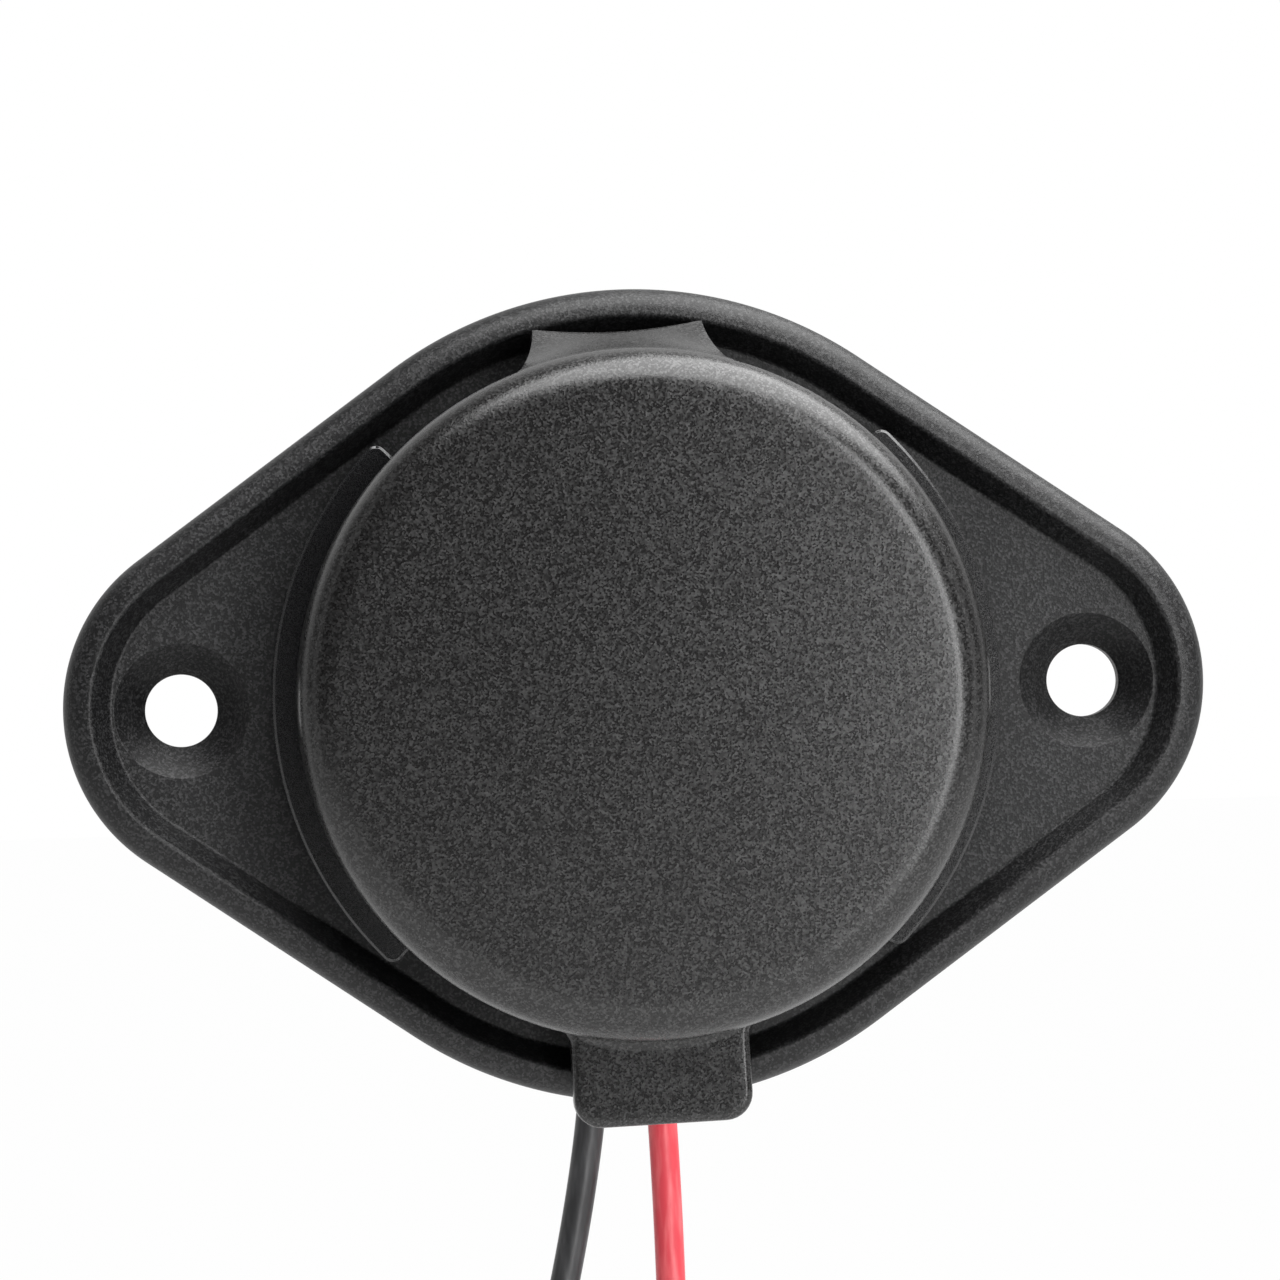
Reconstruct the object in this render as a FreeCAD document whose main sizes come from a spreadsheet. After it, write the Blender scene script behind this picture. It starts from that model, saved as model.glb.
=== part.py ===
import FreeCAD, Part
import math
import os
import Sketcher

"""Dual USB socket on a flush-mounting flange, with a hinged rubber dust cap and two flying leads.

Every solid is drawn in a local frame: x to the right, y up, z towards the viewer, panel at z = 0.
FRONT stands that frame up in the shared one, where +Z is up and the front faces -Y.
"""

SIZES = {
    # Flange: outline, rim, screw holes and the seat for the nut at its back.
    "plate_end_margin": 6.5,
    "plate_side_margin": 2.4,
    "plate_end_radius": 10.1,
    "floor_height": 3.0,
    "rim_height": 4.5,
    "rim_crest_inset": 1.5,
    "rim_foot_inset": 2.6,
    "rim_round": 1.4,
    "screw_spacing": 50.0,
    "screw_hole": 4.0,
    "countersink": 7.5,
    "countersink_angle": 90.0,
    "plate_bore_gap": 0.3,
    "nut_recess_depth": 0.6,
    "nut_recess_gap": 0.8,
    # Housing: threaded barrel, bezel with two wings, collar that the cap closes over.
    "barrel_radius": 14.0,
    "thread_depth": 0.6,
    "thread_start": 0.9,
    "thread_pitch": 2.0,
    "thread_crest": 0.5,
    "thread_foot": 1.5,
    "thread_sink": 0.15,
    "barrel_wall": 1.2,
    "barrel_length": 26.0,
    "bezel_lip": 1.4,
    "bezel_height": 2.0,
    "wing_reach": 1.7,
    "wing_root": 1.0,
    "wing_half_angle": 46.0,
    "wing_end_round": 0.6,
    "wing_bevel": 0.25,
    "collar_step": 2.5,
    "collar_wall": 2.0,
    "collar_draft": 0.3,
    "collar_height": 4.0,
    "ring_seat_depth": 1.0,
    "ring_seat_gap": 0.3,
    "strap_notch_gap": 0.8,
    # Nut behind the flange.
    "nut_wall": 3.1,
    "nut_thickness": 5.0,
    "nut_gap": 0.1,
    "nut_grips": 20,
    "nut_grip_radius": 1.3,
    "nut_grip_depth": 0.7,
    # Face plate and its two windows.
    "face_seat": 0.4,
    "face_thickness": 2.0,
    "face_gap": 0.1,
    "window_gap": 0.15,
    "window_lead": 0.5,
    # Dust cap: cup, tab and the root of the strap.
    "cap_wall": 2.0,
    "cap_gap": 0.25,
    "cap_lift": 0.2,
    "cap_height": 8.6,
    "cap_crown": 0.5,
    "cap_top_wall": 1.8,
    "cap_shoulder": 2.2,
    "cap_mouth_round": 0.3,
    "tab_width": 9.8,
    "tab_length": 4.75,
    "tab_thickness": 1.8,
    "tab_corner": 1.5,
    "tab_fillet": 1.2,
    "tab_root": 1.4,
    "root_height": 4.85,
    "root_flare": 1.9,
    "root_sink": 0.5,
    "root_undercut": 0.6,
    "root_gap": 0.05,
    # Strap and the ring that holds it under the bezel.
    "ring_gap": 0.2,
    "ring_width": 2.4,
    "ring_play": 0.05,
    "strap_width": 9.4,
    "strap_thickness": 0.9,
    "strap_bend": 1.4,
    "strap_leg": 0.95,
    "strap_gap": 0.25,
    "cap_clocking": 1.5,
    # USB sockets: steel shell, tongue with its block, four contacts.
    "port_width": 13.1,
    "port_height": 5.72,
    "port_wall": 0.3,
    "port_length": 14.0,
    "port_corner": 0.6,
    "port_setback": 0.2,
    "spring_width": 2.2,
    "spring_length": 4.6,
    "spring_slot": 0.35,
    "spring_offset": 3.0,
    "spring_setback": 2.6,
    "tongue_width": 11.1,
    "tongue_thickness": 1.84,
    "tongue_roof": 0.7,
    "tongue_setback": 0.9,
    "block_length": 2.2,
    "block_gap": 0.05,
    "contact_width": 1.0,
    "contact_thickness": 0.25,
    "contact_inner": 1.0,
    "contact_outer": 3.5,
    "contact_setback": 0.9,
    # Circuit board and what stands on it.
    "board_thickness": 1.6,
    "board_edge_gap": 0.3,
    "board_end_gap": 0.2,
    "choke_inset": 2.8,
    "choke_setback": 6.4,
    "choke_width": 7.0,
    "choke_height": 4.2,
    "choke_corner": 1.6,
    "can_inset": 3.8,
    "can_setback": 7.3,
    "can_diameter": 6.3,
    "can_height": 6.6,
    "can_base": 1.4,
    "chip_gap": 0.6,
    "chip_setback": 7.6,
    "chip_length": 4.9,
    "chip_width": 3.9,
    "chip_height": 1.5,
    "chip_pin_width": 0.42,
    "chip_pin_pitch": 1.27,
    "chip_pin_reach": 1.05,
    "chip_pin_thickness": 0.22,
    "diode_inset": 3.1,
    "diode_setback": 8.4,
    "diode_length": 4.4,
    "diode_width": 2.6,
    "diode_height": 2.2,
    "diode_tab": 0.5,
    "pellet_pitch": 3.0,
    "pellet_inset": 3.3,
    "pellet_length": 2.0,
    "pellet_width": 1.25,
    "pellet_height": 0.9,
    # Cover at the back of the barrel, grommet and leads.
    "lead_start": 0.5,
    "cover_thickness": 2.0,
    "cover_round": 0.6,
    "spigot_length": 2.5,
    "spigot_wall": 1.5,
    "spigot_gap": 0.05,
    "grommet_neck": 3.95,
    "grommet_lip": 4.9,
    "grommet_lip_length": 1.0,
    "grommet_tail": 3.7,
    "grommet_tail_length": 3.0,
    "grommet_gap": 0.05,
    "wire_diameter": 1.8,
    "wire_spacing": 4.4,
    "wire_gap": 0.05,
    "core_diameter": 1.0,
    "core_bare_length": 6.0,
    "tail_lap": 1.8,
    "solder_width": 1.6,
    "lead_straight": 3.4,
}

# Routes of the leads in the shared frame (x, y, z), each point measured from where the lead leaves straight.
RED_DRAPE = [
    (0.3, 6.4, -3.4), (0.8, 10.4, -9.8), (1.4, 11.3, -18.7), (1.8, 10.6, -32.7), (1.5, 8.9, -50.5),
    (0.6, 6.4, -68.3), (-0.8, 3.4, -83.9),
]
BLACK_DRAPE = [
    (0.3, 6.2, -3.6), (1.0, 10.0, -10.1), (1.8, 10.9, -19.0), (-0.7, 10.2, -32.9), (-4.8, 8.6, -49.9),
    (-10.0, 6.2, -66.7), (-15.7, 3.4, -81.1),
]


class Size:
    """A value worked out from the sheet, kept with the formula that gives it."""

    def __init__(self, number, formula):
        self.number = float(number)
        self.formula = formula

    @staticmethod
    def of(value):
        return value if isinstance(value, Size) else Size(value, repr(value))

    def joined(self, other, sign, number):
        return Size(number, f"({self.formula} {sign} {other.formula})")

    def __add__(self, other):
        other = Size.of(other)
        return self.joined(other, "+", self.number + other.number)

    def __sub__(self, other):
        other = Size.of(other)
        return self.joined(other, "-", self.number - other.number)

    def __mul__(self, other):
        other = Size.of(other)
        return self.joined(other, "*", self.number * other.number)

    def __truediv__(self, other):
        other = Size.of(other)
        return self.joined(other, "/", self.number / other.number)

    def __neg__(self):
        return Size(-self.number, f"(-1 * {self.formula})")


def root_of(size):
    """Square root of a size."""
    return Size(math.sqrt(size.number), f"sqrt({size.formula})")


def write_sheet(doc):
    """Fills the sheet, one named cell for each size."""
    sheet = doc.addObject("Spreadsheet::Sheet", "Sizes")
    for row, (alias, value) in enumerate(SIZES.items(), 1):
        sheet.set(f"A{row}", alias)
        sheet.set(f"B{row}", str(value))
        sheet.setAlias(f"B{row}", alias)
    doc.recompute()
    return sheet


doc = FreeCAD.newDocument("DualUsbSocket")
sheet = write_sheet(doc)
dim = {alias: Size(sheet.get(alias), f"Sizes.{alias}") for alias in SIZES}

FRONT = FreeCAD.Rotation(FreeCAD.Vector(1, 0, 0), 90)
CLOCKED = FRONT.multiply(FreeCAD.Rotation(FreeCAD.Vector(0, 0, 1), dim["cap_clocking"].number))

# Levels along local z and radii that several pieces share.
floor = dim["floor_height"]
bezel_front = floor + dim["bezel_height"]
collar_front = bezel_front + dim["collar_height"]
face_back = bezel_front + dim["face_seat"]
face_front = face_back + dim["face_thickness"]
core_radius = dim["barrel_radius"] - dim["thread_depth"]
bore_radius = core_radius - dim["barrel_wall"]
barrel_back = -dim["barrel_length"]
ring_outer = dim["barrel_radius"] + dim["ring_gap"] + dim["ring_width"]
ring_seat = ring_outer + dim["ring_seat_gap"]
bezel_radius = ring_seat + dim["bezel_lip"]
wing_radius = bezel_radius + dim["wing_reach"]
collar_radius = dim["barrel_radius"] + dim["collar_step"]
face_bore = collar_radius - dim["collar_wall"]
face_radius = face_bore - dim["face_gap"]
nut_bore = dim["barrel_radius"] + dim["nut_gap"]
nut_radius = nut_bore + dim["nut_wall"]
skirt_back = bezel_front + dim["cap_lift"]
cap_edge = skirt_back + dim["cap_height"]
cap_cavity = collar_radius + dim["cap_gap"]
cap_radius = cap_cavity + dim["cap_wall"]
strap_inner = cap_radius + dim["strap_gap"]
strap_outer = strap_inner + dim["strap_thickness"]
bend_centre = strap_inner - dim["strap_bend"]
strap_back = floor + dim["ring_play"]
strap_front = strap_back + dim["strap_thickness"]
bend_level = strap_front + dim["strap_bend"]
strap_end = bend_level + dim["strap_leg"]
port_level = (dim["board_thickness"] + dim["port_height"]) / 2
port_front = face_front - dim["port_setback"]
port_back = port_front - dim["port_length"]
board_face = dim["board_thickness"] / 2
board_reach = bore_radius - dim["board_edge_gap"]
board_half = root_of(board_reach * board_reach - board_face * board_face)
board_back = barrel_back + dim["spigot_length"] + dim["board_end_gap"]
wire_level = -(board_face + dim["wire_diameter"] / 2)
wire_side = dim["wire_spacing"] / 2


def bind(owner, prop, size):
    """Ties a property to the formula of a size."""
    owner.setExpression(prop, Size.of(size).formula)


def new_body(name):
    """A body of its own, stood up in the shared frame."""
    body = doc.addObject("PartDesign::Body", name)
    body.Label = name
    body.Placement = FreeCAD.Placement(FreeCAD.Vector(), FRONT)
    return body


def origin_part(body, role):
    """The body's own origin plane or axis of that role."""
    return next(part for part in body.Origin.OriginFeatures if part.Role == role)


def new_sketch(body, name, role="XY_Plane", level=None):
    """A sketch on one of the body's origin planes, moved along its normal to a level."""
    sketch = body.newObject("Sketcher::SketchObject", name)
    sketch.AttachmentSupport = [(origin_part(body, role), "")]
    sketch.MapMode = "FlatFace"
    if level is not None:
        bind(sketch, "AttachmentOffset.Base.z", level)
    return sketch


def pin(sketch, geometry, point, x, y):
    """Holds a point of the sketch at x, y; a None keeps it on that axis."""
    for kind, axis, size in (("DistanceX", -2, x), ("DistanceY", -1, y)):
        if size is None:
            sketch.addConstraint(Sketcher.Constraint("PointOnObject", geometry, point, axis))
        else:
            held = Sketcher.Constraint(kind, -1, 1, geometry, point, size.number)
            bind(sketch, f"Constraints[{sketch.addConstraint(held)}]", size)


def place_of(corner):
    """The corner as a point of the sketch plane."""
    return FreeCAD.Vector(*(0.0 if size is None else size.number for size in corner), 0)


def draw_outline(sketch, corners):
    """A closed outline of straight lines through the corners."""
    spots = [place_of(corner) for corner in corners]
    lines = []
    for spot, following in zip(spots, spots[1:] + spots[:1]):
        lines.append(sketch.addGeometry(Part.LineSegment(spot, following), False))
    for line, following in zip(lines, lines[1:] + lines[:1]):
        sketch.addConstraint(Sketcher.Constraint("Coincident", line, 2, following, 1))
    for line, corner in zip(lines, corners):
        pin(sketch, line, 1, *corner)


def draw_box(sketch, x0, x1, y0, y1):
    """A rectangle between two corners."""
    draw_outline(sketch, [(x0, y0), (x1, y0), (x1, y1), (x0, y1)])


def draw_circle(sketch, x, y, radius):
    """A circle tied to its centre and radius."""
    centre = place_of((x, y))
    ring = sketch.addGeometry(Part.Circle(centre, FreeCAD.Vector(0, 0, 1), radius.number), False)
    pin(sketch, ring, 3, x, y)
    held = sketch.addConstraint(Sketcher.Constraint("Radius", ring, radius.number))
    bind(sketch, f"Constraints[{held}]", radius)


def draw_plate(sketch, inset):
    """The flange outline: two round ends and two round sides joined by tangent lines, drawn inset."""
    side = wing_radius + dim["plate_side_margin"] - inset
    end = dim["plate_end_radius"] - inset
    reach = dim["screw_spacing"] / 2 + dim["plate_end_margin"] - dim["plate_end_radius"]
    lean = math.acos((side.number - end.number) / reach.number)
    turns = [(reach, end, -lean, lean), (None, side, lean, math.pi - lean),
             (-reach, end, math.pi - lean, math.pi + lean), (None, side, math.pi + lean, math.tau - lean)]
    arcs = []
    for centre, radius, start, stop in turns:
        circle = Part.Circle(place_of((centre, None)), FreeCAD.Vector(0, 0, 1), radius.number)
        arcs.append(sketch.addGeometry(Part.ArcOfCircle(circle, start, stop), False))
    for arc, following in zip(arcs, arcs[1:] + arcs[:1]):
        ends = sketch.getPoint(arc, 2), sketch.getPoint(following, 1)
        line = sketch.addGeometry(Part.LineSegment(*ends), False)
        sketch.addConstraint(Sketcher.Constraint("Tangent", arc, 2, line, 1))
        sketch.addConstraint(Sketcher.Constraint("Tangent", line, 2, following, 1))
    for arc, (centre, radius, _, _) in zip(arcs, turns):
        pin(sketch, arc, 3, centre, None)
        held = sketch.addConstraint(Sketcher.Constraint("Radius", arc, radius.number))
        bind(sketch, f"Constraints[{held}]", radius)


def pad(body, name, sketch, length, both_ways=False, reversed_way=False):
    """Material raised from a sketch."""
    made = body.newObject("PartDesign::Pad", name)
    made.Profile = sketch
    bind(made, "Length", length)
    made.SideType = "Symmetric" if both_ways else "One side"
    made.Reversed = reversed_way
    doc.recompute()
    return made


def pocket(body, name, sketch, length=None, reversed_way=False):
    """Material cut from a sketch, right through when no length is given."""
    made = body.newObject("PartDesign::Pocket", name)
    made.Profile = sketch
    if length is None:
        made.Type = "ThroughAll"
    else:
        bind(made, "Length", length)
    made.Reversed = reversed_way
    doc.recompute()
    return made


def revolve(body, name, sketch, angle=None):
    """Material turned about the local z axis, all the way round or evenly to both sides."""
    made = body.newObject("PartDesign::Revolution", name)
    made.Profile = sketch
    made.ReferenceAxis = (sketch, ["V_Axis"])
    if angle is None:
        made.Angle = 360
    else:
        made.Midplane = True
        bind(made, "Angle", angle)
    doc.recompute()
    return made


def round_edges(body, name, feature, radius, test):
    """Rounds the edges of the feature whose shape passes the test."""
    names = [f"Edge{i}" for i, edge in enumerate(feature.Shape.Edges, 1) if test(edge)]
    made = body.newObject("PartDesign::Fillet", name)
    made.Base = (feature, names)
    bind(made, "Radius", radius)
    doc.recompute()
    return made


def at_level(edge, level):
    """True for an edge that lies flat at that level of local z."""
    box = edge.BoundBox
    return abs(box.ZMin - level.number) < 1e-4 and abs(box.ZMax - level.number) < 1e-4


def is_upright(edge):
    """True for a straight edge along local z."""
    box = edge.BoundBox
    return box.XLength < 1e-4 and box.YLength < 1e-4 and box.ZLength > 1e-3


def radius_at(edge):
    """Distance of the middle of an edge from the socket axis."""
    middle = edge.valueAt((edge.FirstParameter + edge.LastParameter) / 2)
    return math.hypot(middle.x, middle.y)


def make_flange():
    """Plate with a rolled rim, sunk floor, bore, nut seat and two countersunk screw holes."""
    body = new_body("mounting_flange")
    outline = new_sketch(body, "PlateOutline")
    draw_plate(outline, Size.of(0))
    plate = pad(body, "Plate", outline, dim["rim_height"])
    round_edges(body, "RimRound", plate, dim["rim_round"], lambda e: at_level(e, dim["rim_height"]))
    crest = new_sketch(body, "RimCrest", level=dim["rim_height"])
    draw_plate(crest, dim["rim_crest_inset"])
    foot = new_sketch(body, "RimFoot", level=floor)
    draw_plate(foot, dim["rim_foot_inset"])
    sink = body.newObject("PartDesign::SubtractiveLoft", "Floor")
    sink.Profile = crest
    sink.Sections = [foot]
    sink.Ruled = True
    doc.recompute()
    bore = new_sketch(body, "BoreCircle", level=floor)
    draw_circle(bore, None, None, dim["barrel_radius"] + dim["plate_bore_gap"])
    pocket(body, "Bore", bore)
    seat = new_sketch(body, "NutSeatCircle")
    draw_circle(seat, None, None, nut_radius + dim["nut_recess_gap"])
    pocket(body, "NutSeat", seat, dim["nut_recess_depth"], reversed_way=True)
    spots = new_sketch(body, "ScrewSpots", level=floor)
    for side in (dim["screw_spacing"] / 2, -(dim["screw_spacing"] / 2)):
        draw_circle(spots, side, None, dim["screw_hole"] / 2)
    doc.recompute()
    hole = body.newObject("PartDesign::Hole", "ScrewHoles")
    hole.Profile = spots
    hole.DepthType = "ThroughAll"
    hole.HoleCutType = "Countersink"
    hole.HoleCutCustomValues = True
    bind(hole, "Diameter", dim["screw_hole"])
    bind(hole, "HoleCutDiameter", dim["countersink"])
    bind(hole, "HoleCutCountersinkAngle", dim["countersink_angle"])
    doc.recompute()
    return body


def make_housing():
    """Barrel, bezel with wings and collar in one moulding."""
    body = new_body("socket_housing")
    seat_level = floor + dim["ring_seat_depth"]
    section = new_sketch(body, "HousingSection", "XZ_Plane")
    draw_outline(section, [
        (bore_radius, barrel_back), (core_radius, barrel_back),
        (core_radius, dim["thread_start"]), (dim["barrel_radius"], dim["thread_start"]),
        (dim["barrel_radius"], seat_level), (ring_seat, seat_level),
        (ring_seat, floor), (bezel_radius, floor),
        (bezel_radius, bezel_front), (collar_radius, bezel_front),
        (collar_radius - dim["collar_draft"], collar_front), (face_bore, collar_front),
        (face_bore, face_back), (bore_radius, face_back),
    ])
    shell = revolve(body, "Shell", section)
    round_edges(body, "CollarLip", shell, dim["wing_bevel"], lambda e: at_level(e, collar_front))
    wing_section = new_sketch(body, "WingSection", "XZ_Plane")
    bevel = dim["wing_bevel"]
    draw_outline(wing_section, [
        (bezel_radius - dim["wing_root"], floor), (wing_radius, floor),
        (wing_radius, bezel_front - bevel), (wing_radius - bevel, bezel_front),
        (bezel_radius - dim["wing_root"], bezel_front),
    ])
    wing = revolve(body, "Wing", wing_section, dim["wing_half_angle"] * 2)
    other = body.newObject("PartDesign::Mirrored", "OtherWing")
    other.Originals = [wing]
    other.MirrorPlane = (origin_part(body, "YZ_Plane"), [""])
    body.Tip = other
    doc.recompute()
    rounded = round_edges(body, "WingEnds", other, dim["wing_end_round"],
                          lambda e: is_upright(e) and radius_at(e) > wing_radius.number - 0.01)
    half = dim["strap_width"] / 2 + dim["strap_notch_gap"]
    slot = new_sketch(body, "SlotOutline", level=floor)
    draw_box(slot, -half, half, dim["barrel_radius"] + dim["ring_gap"], wing_radius)
    under = pocket(body, "StrapSlot", slot, dim["ring_seat_depth"], reversed_way=True)
    notch = new_sketch(body, "NotchOutline", level=floor)
    draw_box(notch, -half, half, bend_centre - dim["strap_notch_gap"], wing_radius)
    cut = pocket(body, "StrapNotch", notch, dim["bezel_height"], reversed_way=True)
    assert cut.Shape.Volume < under.Shape.Volume < rounded.Shape.Volume
    thread = wind_thread(body)
    assert thread.Shape.Volume > cut.Shape.Volume
    return body


def wind_thread(body):
    """Thread of the barrel: one ridge wound along a helix from near the barrel's back."""
    section = new_sketch(body, "ThreadSection", "XZ_Plane")
    low = barrel_back + dim["thread_pitch"]
    sunk = core_radius - dim["thread_sink"]
    foot = dim["thread_foot"] / 2
    crest = dim["thread_crest"] / 2
    draw_outline(section, [(sunk, low - foot), (dim["barrel_radius"], low - crest),
                           (dim["barrel_radius"], low + crest), (sunk, low + foot)])
    thread = body.newObject("PartDesign::AdditiveHelix", "Thread")
    thread.Profile = section
    thread.ReferenceAxis = (section, ["V_Axis"])
    thread.Mode = 0
    bind(thread, "Pitch", dim["thread_pitch"])
    bind(thread, "Height", dim["barrel_length"] - dim["thread_pitch"] * 1.5)
    body.Tip = thread
    doc.recompute()
    return thread


def make_nut():
    """Ring nut with a scalloped grip."""
    body = new_body("ring_nut")
    front = dim["nut_recess_depth"]
    section = new_sketch(body, "NutSection", "XZ_Plane")
    draw_box(section, nut_bore, nut_radius, front - dim["nut_thickness"], front)
    revolve(body, "NutRing", section)
    scallop = new_sketch(body, "GripCircle", level=front)
    reach = nut_radius + dim["nut_grip_radius"] - dim["nut_grip_depth"]
    draw_circle(scallop, reach, None, dim["nut_grip_radius"])
    cut = pocket(body, "Grip", scallop)
    around = body.newObject("PartDesign::PolarPattern", "Grips")
    around.Originals = [cut]
    around.Axis = (origin_part(body, "Z_Axis"), [""])
    around.Angle = 360
    bind(around, "Occurrences", dim["nut_grips"])
    body.Tip = around
    doc.recompute()
    return body


def port_half(gap=0.0):
    """Half width and half height of a steel shell's outside, grown by a gap."""
    return dim["port_width"] / 2 + gap, dim["port_height"] / 2 + gap


def make_face_plate():
    """Round plate with two windows for the steel shells."""
    body = new_body("face_plate")
    disc = new_sketch(body, "FaceCircle", level=face_back)
    draw_circle(disc, None, None, face_radius)
    plate = pad(body, "Disc", disc, dim["face_thickness"])
    eased = round_edges(body, "FaceEdge", plate, dim["wing_bevel"], lambda e: at_level(e, face_front))
    windows = new_sketch(body, "WindowOutlines", level=face_front)
    half_width, half_height = port_half(dim["window_gap"])
    for level in (port_level, -port_level):
        draw_box(windows, -half_width, half_width, level - half_height, level + half_height)
    cut = pocket(body, "Windows", windows)
    assert cut.Shape.Volume < eased.Shape.Volume
    lead = body.newObject("PartDesign::Chamfer", "WindowLead")
    reach = math.hypot(*(half.number for half in port_half(dim["window_gap"]))) + port_level.number
    names = [f"Edge{i}" for i, edge in enumerate(cut.Shape.Edges, 1)
             if at_level(edge, face_front) and radius_at(edge) < min(reach, face_radius.number - 1)]
    lead.Base = (cut, names)
    bind(lead, "Size", dim["window_lead"])
    doc.recompute()
    return body


def draw_root(sketch):
    """Plan of the strap's root: as wide as the strap, flared to the wall of the cap on both sides."""
    half = dim["strap_width"] / 2
    flare = dim["root_flare"]
    centre_x = half + flare
    grown = cap_radius + flare
    centre_y = root_of(grown * grown - centre_x * centre_x)
    touch = cap_radius / grown
    foot_x = centre_x * touch
    foot_y = centre_y * touch
    corners = [(-half, centre_y), (-half, strap_outer), (half, strap_outer), (half, centre_y)]
    spots = [place_of(corner) for corner in corners]
    feet = [place_of((foot_x, foot_y)), place_of((-foot_x, foot_y))]
    lines = [sketch_line(sketch, *ends) for ends in zip(spots, spots[1:])]
    chord = sketch_line(sketch, *feet)
    lean = math.atan2(centre_y.number, centre_x.number)
    right = Part.Circle(place_of((centre_x, centre_y)), FreeCAD.Vector(0, 0, 1), flare.number)
    left = Part.Circle(place_of((-centre_x, centre_y)), FreeCAD.Vector(0, 0, 1), flare.number)
    arc_right = sketch.addGeometry(Part.ArcOfCircle(right, math.pi, math.pi + lean), False)
    arc_left = sketch.addGeometry(Part.ArcOfCircle(left, math.tau - lean, math.tau), False)
    joins = [(lines[0], 2, lines[1], 1), (lines[1], 2, lines[2], 1), (lines[2], 2, arc_right, 1),
             (arc_right, 2, chord, 1), (chord, 2, arc_left, 1), (arc_left, 2, lines[0], 1)]
    for join in joins:
        sketch.addConstraint(Sketcher.Constraint("Coincident", *join))
    for line, corner in zip(lines, corners):
        pin(sketch, line, 1, *corner)
    pin(sketch, lines[2], 2, *corners[3])
    pin(sketch, chord, 1, foot_x, foot_y)
    pin(sketch, chord, 2, -foot_x, foot_y)
    for arc in (arc_right, arc_left):
        held = sketch.addConstraint(Sketcher.Constraint("Radius", arc, flare.number))
        bind(sketch, f"Constraints[{held}]", flare)


def make_cap():
    """Cup with a rounded shoulder, a thumb tab below and the root of the strap above."""
    body = new_body("dust_cap")
    base = strap_end + dim["root_gap"]
    peak = base + dim["root_height"]
    plan = new_sketch(body, "RootPlan", level=base)
    draw_root(plan)
    block = pad(body, "RootBlock", plan, dim["root_height"])
    slope = new_sketch(body, "RootSlope", "YZ_Plane")
    clear = strap_outer + dim["strap_thickness"]
    draw_outline(slope, [(strap_outer, base), (clear, base), (clear, peak + dim["strap_leg"]),
                         (cap_radius - dim["root_sink"], peak + dim["strap_leg"]),
                         (cap_radius - dim["root_sink"], peak)])
    sloped = pocket(body, "RootSlopeCut", slope)
    sloped.SideType = "Symmetric"
    doc.recompute()
    assert sloped.Shape.Volume < block.Shape.Volume
    section = new_sketch(body, "CapSection", "XZ_Plane")
    ceiling = cap_edge - dim["cap_top_wall"]
    crown = cap_edge + dim["cap_crown"]
    corners = [(None, ceiling), (cap_cavity, ceiling), (cap_cavity, skirt_back),
               (cap_radius, skirt_back), (cap_radius, cap_edge)]
    spots = [place_of(corner) for corner in corners]
    top = place_of((None, crown))
    lines = [sketch_line(section, *ends) for ends in zip([top] + spots, spots)]
    sag = dim["cap_crown"].number
    swell = (cap_radius.number ** 2 + sag ** 2) / (2 * sag)
    circle = Part.Circle(FreeCAD.Vector(0, crown.number - swell, 0), FreeCAD.Vector(0, 0, 1), swell)
    start = math.asin((swell - sag) / swell)
    arc = section.addGeometry(Part.ArcOfCircle(circle, start, math.pi / 2), False)
    for line, following in zip(lines, lines[1:]):
        section.addConstraint(Sketcher.Constraint("Coincident", line, 2, following, 1))
    section.addConstraint(Sketcher.Constraint("Coincident", lines[-1], 2, arc, 1))
    section.addConstraint(Sketcher.Constraint("Coincident", arc, 2, lines[0], 1))
    section.addConstraint(Sketcher.Constraint("PointOnObject", arc, 3, -2))
    pin(section, lines[0], 1, None, crown)
    for line, corner in zip(lines, corners):
        pin(section, line, 2, *corner)
    cup = revolve(body, "Cup", section)
    shoulder = round_edges(body, "Shoulder", cup, dim["cap_shoulder"], lambda e: at_level(e, cap_edge))
    mouth = round_edges(body, "MouthEdge", shoulder, dim["cap_mouth_round"],
                        lambda e: at_level(e, skirt_back) and abs(radius_at(e) - cap_cavity.number) < 1e-3)
    assert mouth.Shape.Volume < shoulder.Shape.Volume < cup.Shape.Volume

    tab_outline = new_sketch(body, "TabOutline", level=skirt_back)
    half = dim["tab_width"] / 2
    tab_end = cap_radius + dim["tab_length"]
    draw_box(tab_outline, -half, half, -tab_end, dim["tab_root"] - cap_radius)
    tab = pad(body, "Tab", tab_outline, dim["tab_thickness"])
    rounded = round_edges(body, "TabCorners", tab, dim["tab_corner"],
                          lambda e: is_upright(e) and radius_at(e) > tab_end.number)
    round_edges(body, "TabFillets", rounded, dim["tab_fillet"],
                lambda e: is_upright(e) and abs(radius_at(e) - cap_radius.number) < 0.01 and e.CenterOfMass.y < 0)
    body.Placement = FreeCAD.Placement(FreeCAD.Vector(), CLOCKED)
    return body


def sketch_line(sketch, start, stop):
    """A straight line of a sketch."""
    return sketch.addGeometry(Part.LineSegment(start, stop), False)


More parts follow.
